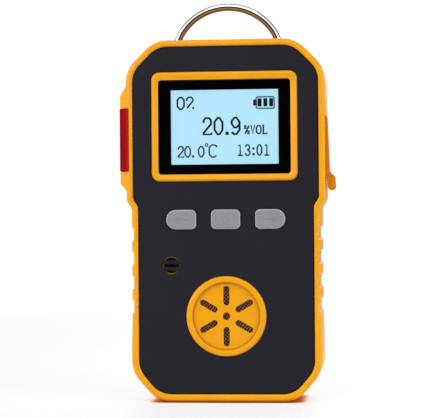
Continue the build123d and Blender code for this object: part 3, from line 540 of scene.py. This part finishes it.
def wires(
    strokes: Iterable[Stroke], radius: float, sides: int = 2, thin: float = 1.0, level: float = 0.0,
) -> bmesh.types.BMesh:
    """Sweep round wire along strokes.

    Args:
        strokes: Lines in metres, in the object's frame.
        radius: Wire radius in metres.
        sides: Bevel resolution of the section.
        thin: Factor on the depth along Y, to make flat ink of the wire.
        level: Y plane about which it is made thin.

    Returns:
        A bmesh with every wire.
    """
    curve = bpy.data.curves.new("strokes", "CURVE")
    curve.dimensions = "3D"
    curve.bevel_depth = radius
    curve.bevel_resolution = sides
    curve.use_fill_caps = True
    for stroke in strokes:
        spline = curve.splines.new("POLY")
        spline.points.add(len(stroke.points) - 1)
        for point, place in zip(spline.points, stroke.points):
            point.co = (*place, 1.0)
        spline.use_cyclic_u = stroke.closed
    holder = bpy.data.objects.new("strokes", curve)
    bpy.context.scene.collection.objects.link(holder)
    bpy.context.view_layer.update()
    mesh = bpy.data.meshes.new_from_object(holder)
    bpy.data.objects.remove(holder)
    bpy.data.curves.remove(curve)
    made = bmesh.new()
    made.from_mesh(mesh)
    bpy.data.meshes.remove(mesh)
    if thin != 1.0:
        centre = Matrix.Translation((0, -level, 0))
        bmesh.ops.transform(made, matrix=centre, verts=made.verts)
        bmesh.ops.scale(made, vec=(1, thin, 1), verts=made.verts)
        bmesh.ops.transform(made, matrix=centre.inverted(), verts=made.verts)
    return made


# Display -------------------------------------------------------------------------------------

GLYPHS: dict[str, list[list[tuple[float, float]]]] = {
    "0": [[(0.36, 1), (0.64, 1), (1, 0.73), (1, 0.27), (0.64, 0), (0.36, 0), (0, 0.27), (0, 0.73),
           (0.36, 1)]],
    "1": [[(0.1, 0.93), (0.5, 1), (0.5, 0)], [(0, 0), (1, 0)]],
    "2": [[(0.02, 0.7), (0.02, 0.84), (0.26, 1), (0.72, 1), (0.95, 0.86), (0.95, 0.62), (0, 0.08),
           (0, 0), (1, 0), (1, 0.1)]],
    "3": [[(0.08, 0.78), (0.08, 0.88), (0.3, 1), (0.66, 1), (0.9, 0.88), (0.9, 0.66), (0.6, 0.54),
           (0.36, 0.54)],
          [(0.6, 0.54), (1, 0.36), (1, 0.16), (0.66, 0), (0.3, 0), (0.04, 0.12), (0.04, 0.22)]],
    "9": [[(1, 0.72), (0.64, 1), (0.36, 1), (0, 0.78), (0, 0.65), (0.34, 0.4), (0.62, 0.4), (1, 0.6)],
          [(1, 0.74), (1, 0.26), (0.62, 0), (0.26, 0), (0.02, 0.13)]],
    "O": [[(0.36, 1), (0.64, 1), (1, 0.76), (1, 0.24), (0.64, 0), (0.36, 0), (0, 0.24), (0, 0.76),
           (0.36, 1)]],
    "%": [[(0.02, 0.98), (0.3, 0.98), (0.3, 0.66), (0.02, 0.66), (0.02, 0.98)], [(0.96, 1), (0.1, 0)],
          [(0.7, 0.34), (0.98, 0.34), (0.98, 0.02), (0.7, 0.02), (0.7, 0.34)]],
    "V": [[(0, 1), (0.12, 1), (0.5, 0.02), (0.9, 1), (1, 1)]],
    "L": [[(0, 1), (0.4, 1)], [(0.2, 1), (0.2, 0)], [(0, 0), (1, 0), (1, 0.14)]],
    "C": [[(1, 1), (1, 0.8)],
          [(1, 0.9), (0.76, 1), (0.4, 1), (0.04, 0.8), (0.04, 0.24), (0.4, 0), (0.74, 0), (1, 0.14)]],
    "o": [[(0.3, 1), (0.7, 1), (1, 0.66), (1, 0.34), (0.7, 0), (0.3, 0), (0, 0.34), (0, 0.66), (0.3, 1)]],
    "z": [[(0.02, 0.68), (0.02, 0.84), (0.26, 1), (0.7, 1), (0.95, 0.84), (0.95, 0.7), (0.06, 0.06)]],
}
DOTS: dict[str, list[tuple[float, float]]] = {
    ".": [(0.5, 0.05)],
    ":": [(0.5, 0.66), (0.5, 0.1)],
    "z": [(0.98, 0.07)],
}


@dataclass(frozen=True)
class Reading:
    """A line of characters: its space as parts of the display, its ink and the shift of its dots."""

    name: str
    text: str
    left: float
    right: float
    top: float
    bottom: float
    gap: float = 0.3
    line_mm: float = 0.42
    dot_mm: float = 0.75
    narrow: str = ".:"
    narrow_width: float = 0.35
    dot_shift: float = 0.0


@dataclass
class Display:
    """Window, printed border, panel and what it shows."""

    lcd_width: float = 38.7 * MM
    lcd_height: float = 26.8 * MM
    lcd_left: float = -19.6 * MM
    lcd_top: float = 112.05 * MM
    ink_thin: float = 0.12
    ink_lift: float = 0.04 * MM
    # Battery sign: left, right, top and bottom, its cut corners, bars and nub, as parts of the display.
    sign_box: tuple[float, float, float, float] = (0.796, 0.962, 0.104, 0.258)
    sign_cut: float = 0.008
    sign_cut_slope: float = 1.4
    sign_outline: float = 0.27 * MM
    bar_count: int = 3
    bar_first: float = 0.031
    bar_step: float = 0.0535
    bar_margins: tuple[float, float] = (0.020, 0.026)
    bar_radius: float = 0.7 * MM
    bar_thin: float = 0.05
    nub_out: float = 0.010
    nub_margins: tuple[float, float] = (0.036, 0.040)
    readings: tuple[Reading, ...] = (
        Reading("gas", "O", 0.061, 0.123, 0.097, 0.256, line_mm=0.66),
        Reading("gas_index", "z", 0.148, 0.210, 0.097, 0.252, line_mm=0.60, dot_mm=0.7),
        Reading("value", "20.9", 0.303, 0.639, 0.378, 0.597, gap=0.40, line_mm=0.78, dot_mm=1.15),
        Reading("value_unit", "%VOL", 0.686, 0.893, 0.486, 0.596, gap=0.30, line_mm=0.54),
        Reading("temperature", "20.0", 0.066, 0.305, 0.757, 0.898, gap=0.31, line_mm=0.54, dot_mm=0.8,
                narrow=":", dot_shift=-0.28),
        Reading("degree", "o", 0.319, 0.343, 0.722, 0.757, line_mm=0.38),
        Reading("temperature_unit", "C", 0.352, 0.422, 0.740, 0.902, line_mm=0.54),
        Reading("clock", "13:01", 0.622, 0.912, 0.745, 0.884, gap=0.62, line_mm=0.54, dot_mm=0.8),
    )

    def plane(self) -> float:
        """Y of the panel's front face, where the ink lies."""
        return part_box("lcd_panel")[0][1] - self.ink_lift

    def spot(self, across: float, down: float) -> tuple[float, float, float]:
        """Find a place on the panel.

        Args:
            across: Fraction of the display's width.
            down: Fraction of its height.

        Returns:
            The place in the object's frame.
        """
        return (
            self.lcd_left + across * self.lcd_width, self.plane(), self.lcd_top - down * self.lcd_height
        )

    def dot(self, across: float, down: float, size: float) -> Stroke:
        """Short square stroke that prints a dot.

        Args:
            across: Fraction of the display's width.
            down: Fraction of its height.
            size: Side of the dot in metres.

        Returns:
            A stroke as long as the dot is wide.
        """
        x, y, z = self.spot(across, down)
        return Stroke([(x - size / 2, y, z), (x + size / 2, y, z)])

    def lay_out(self, reading: Reading) -> tuple[list[Stroke], list[Stroke]]:
        """Lay out one reading.

        Args:
            reading: Text and the space it fills.

        Returns:
            Its lines and its dots in the object's frame.
        """
        widths = [reading.narrow_width if c in reading.narrow else 1.0 for c in reading.text]
        total = sum(widths) + reading.gap * (len(widths) - 1)
        unit = (reading.right - reading.left) / total
        tall = reading.bottom - reading.top
        cursor = reading.left
        lines, dots = [], []
        for character, width in zip(reading.text, widths):
            for line in GLYPHS.get(character, []):
                points = [
                    self.spot(cursor + x * width * unit, reading.bottom - z * tall) for x, z in line
                ]
                closed = line[0] == line[-1]
                lines.append(Stroke(points[:-1] if closed else points, closed))
            for x, z in DOTS.get(character, []):
                across = cursor + (x + reading.dot_shift) * width * unit
                dots.append(self.dot(across, reading.bottom - z * tall, reading.dot_mm * MM))
            cursor += (width + reading.gap) * unit
        return lines, dots

    def build_readings(self) -> None:
        """Make the ink of every reading."""
        for reading in self.readings:
            lines, dots = self.lay_out(reading)
            for suffix, strokes, width in (("", lines, reading.line_mm), ("_dots", dots, reading.dot_mm)):
                if strokes:
                    ink = wires(strokes, width * MM / 2, 0, self.ink_thin, self.plane())
                    piece_from_bmesh(
                        "lcd_" + reading.name + suffix, ink, Stock.LCD_INK, "case"
                    )

    def build_battery_sign(self) -> None:
        """Make the battery sign: a pale outline, a nub and three bars."""
        left, right, top, bottom = self.sign_box
        cut, drop = self.sign_cut, self.sign_cut * self.sign_cut_slope
        outline = [
            self.spot(left + cut, top), self.spot(right - cut, top), self.spot(right, top + drop),
            self.spot(right, bottom - drop), self.spot(right - cut, bottom),
            self.spot(left + cut, bottom), self.spot(left, bottom - drop), self.spot(left, top + drop),
        ]
        ink = wires([Stroke(outline, True)], self.sign_outline, 0, self.ink_thin, self.plane())
        piece_from_bmesh("lcd_battery_outline", ink, Stock.LCD_FAINT_INK, "case")
        bars = []
        for index in range(self.bar_count):
            across = left + self.bar_first + index * self.bar_step
            upper, lower = self.bar_margins
            bars.append(Stroke([self.spot(across, top + upper), self.spot(across, bottom - lower)]))
        upper, lower = self.nub_margins
        across = left - self.nub_out
        bars.append(Stroke([self.spot(across, top + upper), self.spot(across, bottom - lower)]))
        ink = wires(bars, self.bar_radius, 0, self.bar_thin, self.plane())
        piece_from_bmesh("lcd_battery_bars", ink, Stock.LCD_INK, "case")

    def build(self) -> None:
        """Dress the display and add what it shows."""
        for node, stock in (
            ("display_window", Stock.CLEAR_PANE),
            ("lcd_panel", Stock.LCD_GLASS), ("lcd_backlight", Stock.LIGHT_GUIDE),
            ("lcd_holder", Stock.WHITE_NYLON),
        ):
            WARDROBE.dress(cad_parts[node], stock)
        smooth_copy("window_mask", Stock.BLACK_PRINT, behind=self.ink_lift / 2)
        self.build_readings()
        self.build_battery_sign()


# Keys ----------------------------------------------------------------------------------------

@dataclass
class Keypad:
    """Three keys with faint marks."""

    mark_radius: float = 0.16 * MM
    mark_thin: float = 0.1
    arrow_length: float = 4.6 * MM
    arrow_head: float = 1.1 * MM
    barb_slope: float = 1.3
    ring_radius: float = 1.35 * MM
    ring_start_deg: float = 130.0
    ring_sweep_deg: float = 280.0
    ring_steps: int = 18
    bar_low: float = 0.3 * MM
    bar_past_ring: float = 0.35 * MM

    def arrow(self, centre: Vector, way: int) -> list[Stroke]:
        """Strokes of an arrow that points left or right.

        Args:
            centre: Middle of the key's face.
            way: -1 for left, 1 for right.

        Returns:
            A shaft and two barbs.
        """
        half = self.arrow_length / 2 * way
        tip = centre + Vector((half, 0, 0))
        tail = centre - Vector((half, 0, 0))
        back = -self.arrow_head * way * self.barb_slope
        upper = tip + Vector((back, 0, self.arrow_head))
        lower = tip + Vector((back, 0, -self.arrow_head))
        return [Stroke([tail, tip]), Stroke([upper, tip, lower])]

    def power(self, centre: Vector) -> list[Stroke]:
        """Strokes of the power sign.

        Args:
            centre: Middle of the key's face.

        Returns:
            A broken ring and a bar.
        """
        arc = []
        for step in range(self.ring_steps + 1):
            angle = math.radians(self.ring_start_deg + step * (self.ring_sweep_deg / self.ring_steps))
            arc.append(centre + self.ring_radius * Vector((math.cos(angle), 0, math.sin(angle))))
        bar_high = self.ring_radius + self.bar_past_ring
        bar = [centre + Vector((0, 0, self.bar_low)), centre + Vector((0, 0, bar_high))]
        return [Stroke(arc), Stroke(bar)]

    def build(self) -> None:
        """Dress the keys and print their marks."""
        for name in ("left", "power", "right"):
            low, high = (Vector(corner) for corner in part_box("key_" + name))
            smooth_copy("key_" + name, Stock.GREY_SILICONE, name + "_key")
            centre = (low + high) / 2
            centre.y = low.y
            if name == "power":
                strokes = self.power(centre)
            else:
                strokes = self.arrow(centre, -1 if name == "left" else 1)
            mark = wires(strokes, self.mark_radius, 0, self.mark_thin, low.y)
            piece_from_bmesh("key_mark_" + name, mark, Stock.KEY_PRINT, name + "_key")
        WARDROBE.dress(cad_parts["keypad_frame"], Stock.GREY_SILICONE)
        for node in ("switch_left", "switch_power", "switch_right"):
            WARDROBE.dress(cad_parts[node], Stock.BLACK_NYLON)


# Sensor --------------------------------------------------------------------------------------

@dataclass
class SensorPort:
    """Cap, woven wire cloth and what lies behind it."""

    # Drawn about twice as coarse as real cloth, so that its threads can be told apart.
    pitch: float = 0.95 * MM
    wire_radius: float = 0.16 * MM
    turn_deg: float = 38.0
    points_per_pitch: int = 2
    fewest_points: int = 4

    def cloth(self) -> bmesh.types.BMesh:
        """Weave the wire cloth as a round disc.

        Returns:
            A bmesh with every warp and weft wire.
        """
        low, high = (Vector(corner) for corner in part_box("sensor_mesh"))
        centre = (low + high) / 2
        radius = (high.x - low.x) / 2 - self.wire_radius
        wave = (high.y - low.y) / 2 - self.wire_radius
        turn = Matrix.Rotation(math.radians(self.turn_deg), 4, "Y")
        count = int(radius / self.pitch)
        strokes = []
        for crossing in (False, True):
            for row in range(-count, count + 1):
                offset = row * self.pitch
                reach = math.sqrt(max(radius ** 2 - offset ** 2, 0.0))
                steps = int(2 * reach / self.pitch * self.points_per_pitch)
                if steps < self.fewest_points:
                    continue
                points = []
                for step in range(steps + 1):
                    run = -reach + step * (2 * reach / steps)
                    phase = math.pi * (run / self.pitch + row + (1 if crossing else 0))
                    spot = Vector((run, wave * math.cos(phase), offset))
                    if crossing:
                        spot = Vector((offset, spot.y, run))
                    points.append(centre + turn @ spot)
                strokes.append(Stroke(points))
        return wires(strokes, self.wire_radius, 0)

    def build(self) -> None:
        """Dress the cap and weave the cloth."""
        for node, stock in (
            ("dust_filter", Stock.FOAM), ("sensor_gasket", Stock.FOAM),
            ("gas_sensor", Stock.WHITE_NYLON), ("sensor_board", Stock.GREEN_BOARD),
        ):
            WARDROBE.dress(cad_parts[node], stock)
        smooth_copy("sensor_cap", Stock.ORANGE_ABS)
        cloth = piece_from_bmesh(
            "sensor_wire_cloth", self.cloth(), Stock.WIRE_CLOTH, "case"
        )
        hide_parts("sensor_mesh")


# Case and the rest ---------------------------------------------------------------------------

@dataclass
class Case:
    """Shells, soft faces, seal and screws."""

    finishes: dict[str, Stock] = field(default_factory=lambda: {
        "front_shell": Stock.ORANGE_ABS, "rear_shell": Stock.ORANGE_ABS, "front_skin": Stock.DARK_TPE,
        "rear_pad": Stock.DARK_TPE, "case_seal": Stock.SEAL_RUBBER, "case_screw_1": Stock.PLATED_STEEL,
        "case_screw_2": Stock.PLATED_STEEL, "case_screw_3": Stock.PLATED_STEEL,
        "case_screw_4": Stock.PLATED_STEEL, "port_cover": Stock.COVER_RUBBER,
        "usb_socket": Stock.PLATED_STEEL,
        "alarm_lens": Stock.RED_LENS, "alarm_board": Stock.GREEN_BOARD, "alarm_led_1": Stock.LED_EPOXY,
        "alarm_led_2": Stock.LED_EPOXY, "wire_bail": Stock.CHROME_WIRE, "buzzer": Stock.BLACK_NYLON,
        "main_board": Stock.GREEN_BOARD, "controller_chip": Stock.BLACK_NYLON,
        "charger_chip": Stock.BLACK_NYLON, "battery_connector": Stock.WHITE_NYLON,
        "battery_pack": Stock.CELL_FOIL, "motor_case": Stock.PLATED_STEEL,
        "motor_rotor": Stock.SPRING_STEEL,
    })
    bodies: dict[str, str] = field(default_factory=lambda: {"wire_bail": "bail", "port_cover": "cover"})
    smoothed: tuple[str, ...] = (
        "front_shell", "rear_shell", "front_skin", "rear_pad", "alarm_lens", "port_cover", "wire_bail",
        "case_screw_1", "case_screw_2", "case_screw_3", "case_screw_4",
    )

    def build(self) -> None:
        """Dress every node of the case and its electronics."""
        for node, stock in self.finishes.items():
            if node in self.smoothed:
                smooth_copy(node, stock, self.bodies.get(node, "case"))
            else:
                WARDROBE.dress(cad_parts[node], stock)


@dataclass
class BeltClip:
    """Plate, lever, pin, screws and the torsion spring's real coil."""

    wire_radius: float = 0.42 * MM
    coil_radius: float = 2.4 * MM
    turns: int = 7
    points_per_turn: int = 16
    # Ends of the two legs, from the ends of the coil.
    fixed_leg: tuple[float, float, float] = (0.0, -0.9 * MM, 7.5 * MM)
    pushing_leg: tuple[float, float, float] = (0.0, 0.3 * MM, 7.0 * MM)

    def spring(self) -> tuple[list[Vector], list[Vector]]:
        """Wind the torsion spring about the pin.

        Returns:
            The line of its fixed part and leg, and that of the half turn and leg that push the lever.
        """
        pin_low, pin_high = (Vector(corner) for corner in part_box("clip_pin"))
        low, high = (Vector(corner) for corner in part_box("clip_spring"))
        centre = (pin_low + pin_high) / 2
        reach = high.x - low.x - 2 * self.wire_radius
        points = []
        steps = self.turns * self.points_per_turn
        half_turn = self.points_per_turn // 2
        for step in range(steps + 1):
            angle = -math.pi / 2 + 2 * math.pi * self.turns * step / steps + math.pi * step / steps
            x = low.x + self.wire_radius + reach * step / steps
            points.append(Vector((
                x,
                centre.y + self.coil_radius * math.sin(angle),
                centre.z + self.coil_radius * math.cos(angle),
            )))
        first = points[0] + Vector(self.fixed_leg)
        last = points[-1] + Vector(self.pushing_leg)
        return [first, *points[:-half_turn]], [*points[-half_turn - 1:], last]

    def build(self) -> None:
        """Dress the clip and wind its spring."""
        smooth_copy("clip_lever", Stock.PLATED_STEEL, "lever")
        for node in ("clip_plate", "clip_pin", "clip_screw_1", "clip_screw_2"):
            smooth_copy(node, Stock.PLATED_STEEL)
        fixed, pushing = self.spring()
        coil = wires([Stroke(fixed)], self.wire_radius, 1)
        leg = wires([Stroke(pushing)], self.wire_radius, 1)
        held = piece_from_bmesh("clip_spring_coil", coil, Stock.SPRING_STEEL, "case")
        piece_from_bmesh("clip_spring_leg", leg, Stock.SPRING_STEEL, "lever")
        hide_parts("clip_spring")


# Studio --------------------------------------------------------------------------------------

@dataclass(frozen=True)
class Lamp:
    """A square soft light."""

    name: str
    place: tuple[float, float, float]
    side: float
    watts: float


@dataclass
class Studio:
    """White floor, soft lights and the camera."""

    azimuth_deg: float = 5.5
    distance: float = 0.610
    camera_height: float = 0.066
    aim: tuple[float, float, float] = (-0.0021, -0.015, 0.0692)
    view_width: float = 0.15695388
    sensor_mm: float = 36.0
    clip_start: float = 0.01
    roll_deg: float = 0.46
    tent_front: float = 0.10
    tent_side: float = 0.46
    tent_ring: float = 1.1
    tent_dim: float = 0.35
    # Depths along Y, from straight ahead (-1) to straight behind (1), between which the tent changes.
    tent_edge: tuple[float, float] = (-0.95, -0.45)
    ring_edge: tuple[float, float] = (-0.96, -0.80)
    ring_back: tuple[float, float] = (-0.45, -0.15)
    backdrop: float = 1.02
    floor_half: float = 1.2
    floor_drop: float = 0.00005
    floor_glow: float = 0.60
    contact_reach: float = 3.4 * MM
    fade_start: float = 0.25
    fade_end: float = 0.8
    floor_roughness: float = 0.5
    floor_specular: float = 0.15
    # Painted contact shadow: tone of the floor by how open it is, warm painted shade and orange bounce
    # where the case shades it, white away from it.
    painted_contact_glow: tuple[tuple[float, str], ...] = (
        (0.38, "7e3e0a"), (0.60, "d09652"), (0.78, "f4e0c4"), (0.92, "fcf8f2"), (1.0, "fafafd"),
    )
    painted_contact_base: tuple[tuple[float, str], ...] = ((0.4, "9a5a20"), (0.95, "a4a4a7"))
    lamp_target: tuple[float, float, float] = (0.0, 0.0, 0.065)
    lamps: tuple[Lamp, ...] = (
        Lamp("left_softbox", (-0.95, -0.65, 0.50), 0.6, 7.0),
        Lamp("right_softbox", (0.98, -0.65, 0.45), 0.6, 5.4),
        Lamp("left_fill", (-1.1, -0.15, 0.25), 0.6, 1.4),
        Lamp("right_fill", (1.1, -0.15, 0.25), 0.6, 2.2),
        Lamp("top_softbox", (0.0, -0.55, 1.0), 0.8, 3.6),
        Lamp("back_softbox", (0.2, 1.0, 0.6), 0.9, 3.5),
    )

    def camera(self) -> None:
        """Place the camera."""
        data = bpy.data.cameras.new("camera")
        data.sensor_width = self.sensor_mm
        data.sensor_fit = "HORIZONTAL"
        data.lens = self.distance * self.sensor_mm / self.view_width
        data.clip_start = self.clip_start
        camera = bpy.data.objects.new("camera", data)
        bpy.context.scene.collection.objects.link(camera)
        turn = math.radians(self.azimuth_deg)
        aim = Vector(self.aim)
        camera.location = aim + self.distance * Vector((math.sin(turn), -math.cos(turn), 0))
        camera.location.z = self.camera_height
        looking = (aim - camera.location).to_track_quat("-Z", "Y")
        roll = Quaternion((0, 0, 1), math.radians(-self.roll_deg))
        camera.rotation_mode = "QUATERNION"
        camera.rotation_quaternion = looking @ roll
        bpy.context.scene.camera = camera

    def lamp(self, lamp: Lamp, aim: Vector) -> None:
        """Add one square soft light.

        Args:
            lamp: Its name, place, side and power.
            aim: Point that it faces.
        """
        data = bpy.data.lights.new(lamp.name, "AREA")
        data.shape = "SQUARE"
        data.size = lamp.side
        data.energy = lamp.watts
        holder = bpy.data.objects.new(lamp.name, data)
        bpy.context.scene.collection.objects.link(holder)
        holder.location = lamp.place
        holder.rotation_euler = (aim - holder.location).to_track_quat("-Z", "Y").to_euler()

    def world(self) -> None:
        """White to the camera; to everything else a tent that is bright at its sides and roof only."""
        world = bpy.data.worlds.new("studio")
        world.use_nodes = True
        tree = world.node_tree
        tree.nodes.clear()
        rays = add_node(tree, "ShaderNodeLightPath").outputs
        way = add_node(tree, "ShaderNodeTexCoord").outputs["Generated"]
        depth = add_node(tree, "ShaderNodeSeparateXYZ", inputs={0: way}).outputs["Y"]
        level = add_node(
            tree, "ShaderNodeMapRange", {"interpolation_type": "SMOOTHSTEP"},
            {"Value": depth, "From Min": self.tent_edge[0], "From Max": self.tent_edge[1],
             "To Min": self.tent_front, "To Max": self.tent_side},
        ).outputs["Result"]
        ring = add_node(
            tree, "ShaderNodeMapRange", {"interpolation_type": "SMOOTHSTEP"},
            {"Value": depth, "From Min": self.ring_edge[0], "From Max": self.ring_edge[1],
             "To Min": self.tent_front, "To Max": self.tent_ring},
        ).outputs["Result"]
        behind = add_node(
            tree, "ShaderNodeMapRange", {"interpolation_type": "SMOOTHSTEP"},
            {"Value": depth, "From Min": self.ring_back[0], "From Max": self.ring_back[1],
             "To Min": 1.0, "To Max": self.tent_dim},
        ).outputs["Result"]
        mirrored = add_node(
            tree, "ShaderNodeMath", {"operation": "MULTIPLY"}, {0: ring, 1: behind}
        ).outputs[0]
        shown = add_node(
            tree, "ShaderNodeMix", inputs={"Factor": rays["Is Glossy Ray"], "A": level, "B": mirrored}
        ).outputs["Result"]
        dim = add_node(tree, "ShaderNodeBackground", inputs={"Color": WHITE, "Strength": shown})
        white = add_node(tree, "ShaderNodeBackground", inputs={"Color": WHITE, "Strength": self.backdrop})
        mixed = add_node(
            tree, "ShaderNodeMixShader",
            inputs={0: rays["Is Camera Ray"], 1: dim.outputs[0], 2: white.outputs[0]},
        )
        add_node(tree, "ShaderNodeOutputWorld", inputs={"Surface": mixed.outputs[0]})
        bpy.context.scene.world = world

    def floor_finish(self) -> bpy.types.Material:
        """Satin white acrylic with a painted contact shadow under the object, that fades into the white
        surround away from it.

        Returns:
            The floor's material.
        """
        material = blank_material("white_acrylic_sheet")
        tree = material.node_tree
        place = add_node(tree, "ShaderNodeTexCoord").outputs["Object"]
        reach = add_node(
            tree, "ShaderNodeVectorMath", {"operation": "LENGTH"}, {0: place}
        ).outputs["Value"]
        fade = add_node(
            tree, "ShaderNodeMapRange", {"interpolation_type": "SMOOTHSTEP"},
            {"Value": reach, "From Min": self.fade_start, "From Max": self.fade_end},
        ).outputs["Result"]
        # Painted contact shadow: ambient occlusion sets the floor's colour and glow near the case.
        openness = add_node(
            tree, "ShaderNodeAmbientOcclusion", {"samples": 16}, {"Distance": self.contact_reach}
        ).outputs["AO"]
        glow, base = (
            add_node(
                tree, "ShaderNodeValToRGB", inputs={"Fac": openness},
                stops=[(stop, linear(colour)) for stop, colour in tones],
            ).outputs["Color"]
            for tones in (self.painted_contact_glow, self.painted_contact_base)
        )
        satin = add_node(
            tree, "ShaderNodeBsdfPrincipled",
            inputs={"Base Color": base, "Roughness": self.floor_roughness,
                    "Specular IOR Level": self.floor_specular, "Emission Color": glow,
                    "Emission Strength": self.floor_glow},
        )
        clear = add_node(tree, "ShaderNodeBsdfTransparent")
        mixed = add_node(
            tree, "ShaderNodeMixShader", inputs={0: fade, 1: satin.outputs[0], 2: clear.outputs[0]}
        )
        add_node(tree, "ShaderNodeOutputMaterial", inputs={"Surface": mixed.outputs[0]})
        return material

    def floor(self) -> None:
        """Lay the floor just under the base."""
        sheet = bmesh.new()
        bmesh.ops.create_grid(sheet, x_segments=1, y_segments=1, size=self.floor_half)
        bmesh.ops.translate(sheet, vec=(0, 0, -self.floor_drop), verts=sheet.verts)
        mesh = bpy.data.meshes.new("studio_floor")
        sheet.to_mesh(mesh)
        sheet.free()
        floor = bpy.data.objects.new("studio_floor", mesh)
        bpy.context.scene.collection.objects.link(floor)
        mesh.materials.append(self.floor_finish())

    def build(self) -> None:
        """Set up colour, world, floor, lights and camera."""
        scene = bpy.context.scene
        scene.view_settings.view_transform = "Standard"
        scene.view_settings.look = "None"
        self.world()
        self.floor()
        for lamp in self.lamps:
            self.lamp(lamp, Vector(self.lamp_target))
        self.camera()


def main() -> None:
    """Build every part of the scene in order."""
    logging.basicConfig(level=logging.INFO, format="%(name)s: %(message)s")
    for assembly in (Case(), Display(), Keypad(), SensorPort(), BeltClip(), Studio()):
        assembly.build()
        LOG.info("%s done", type(assembly).__name__)
    bpy.context.view_layer.update()


if __name__ == "__main__":
    main()
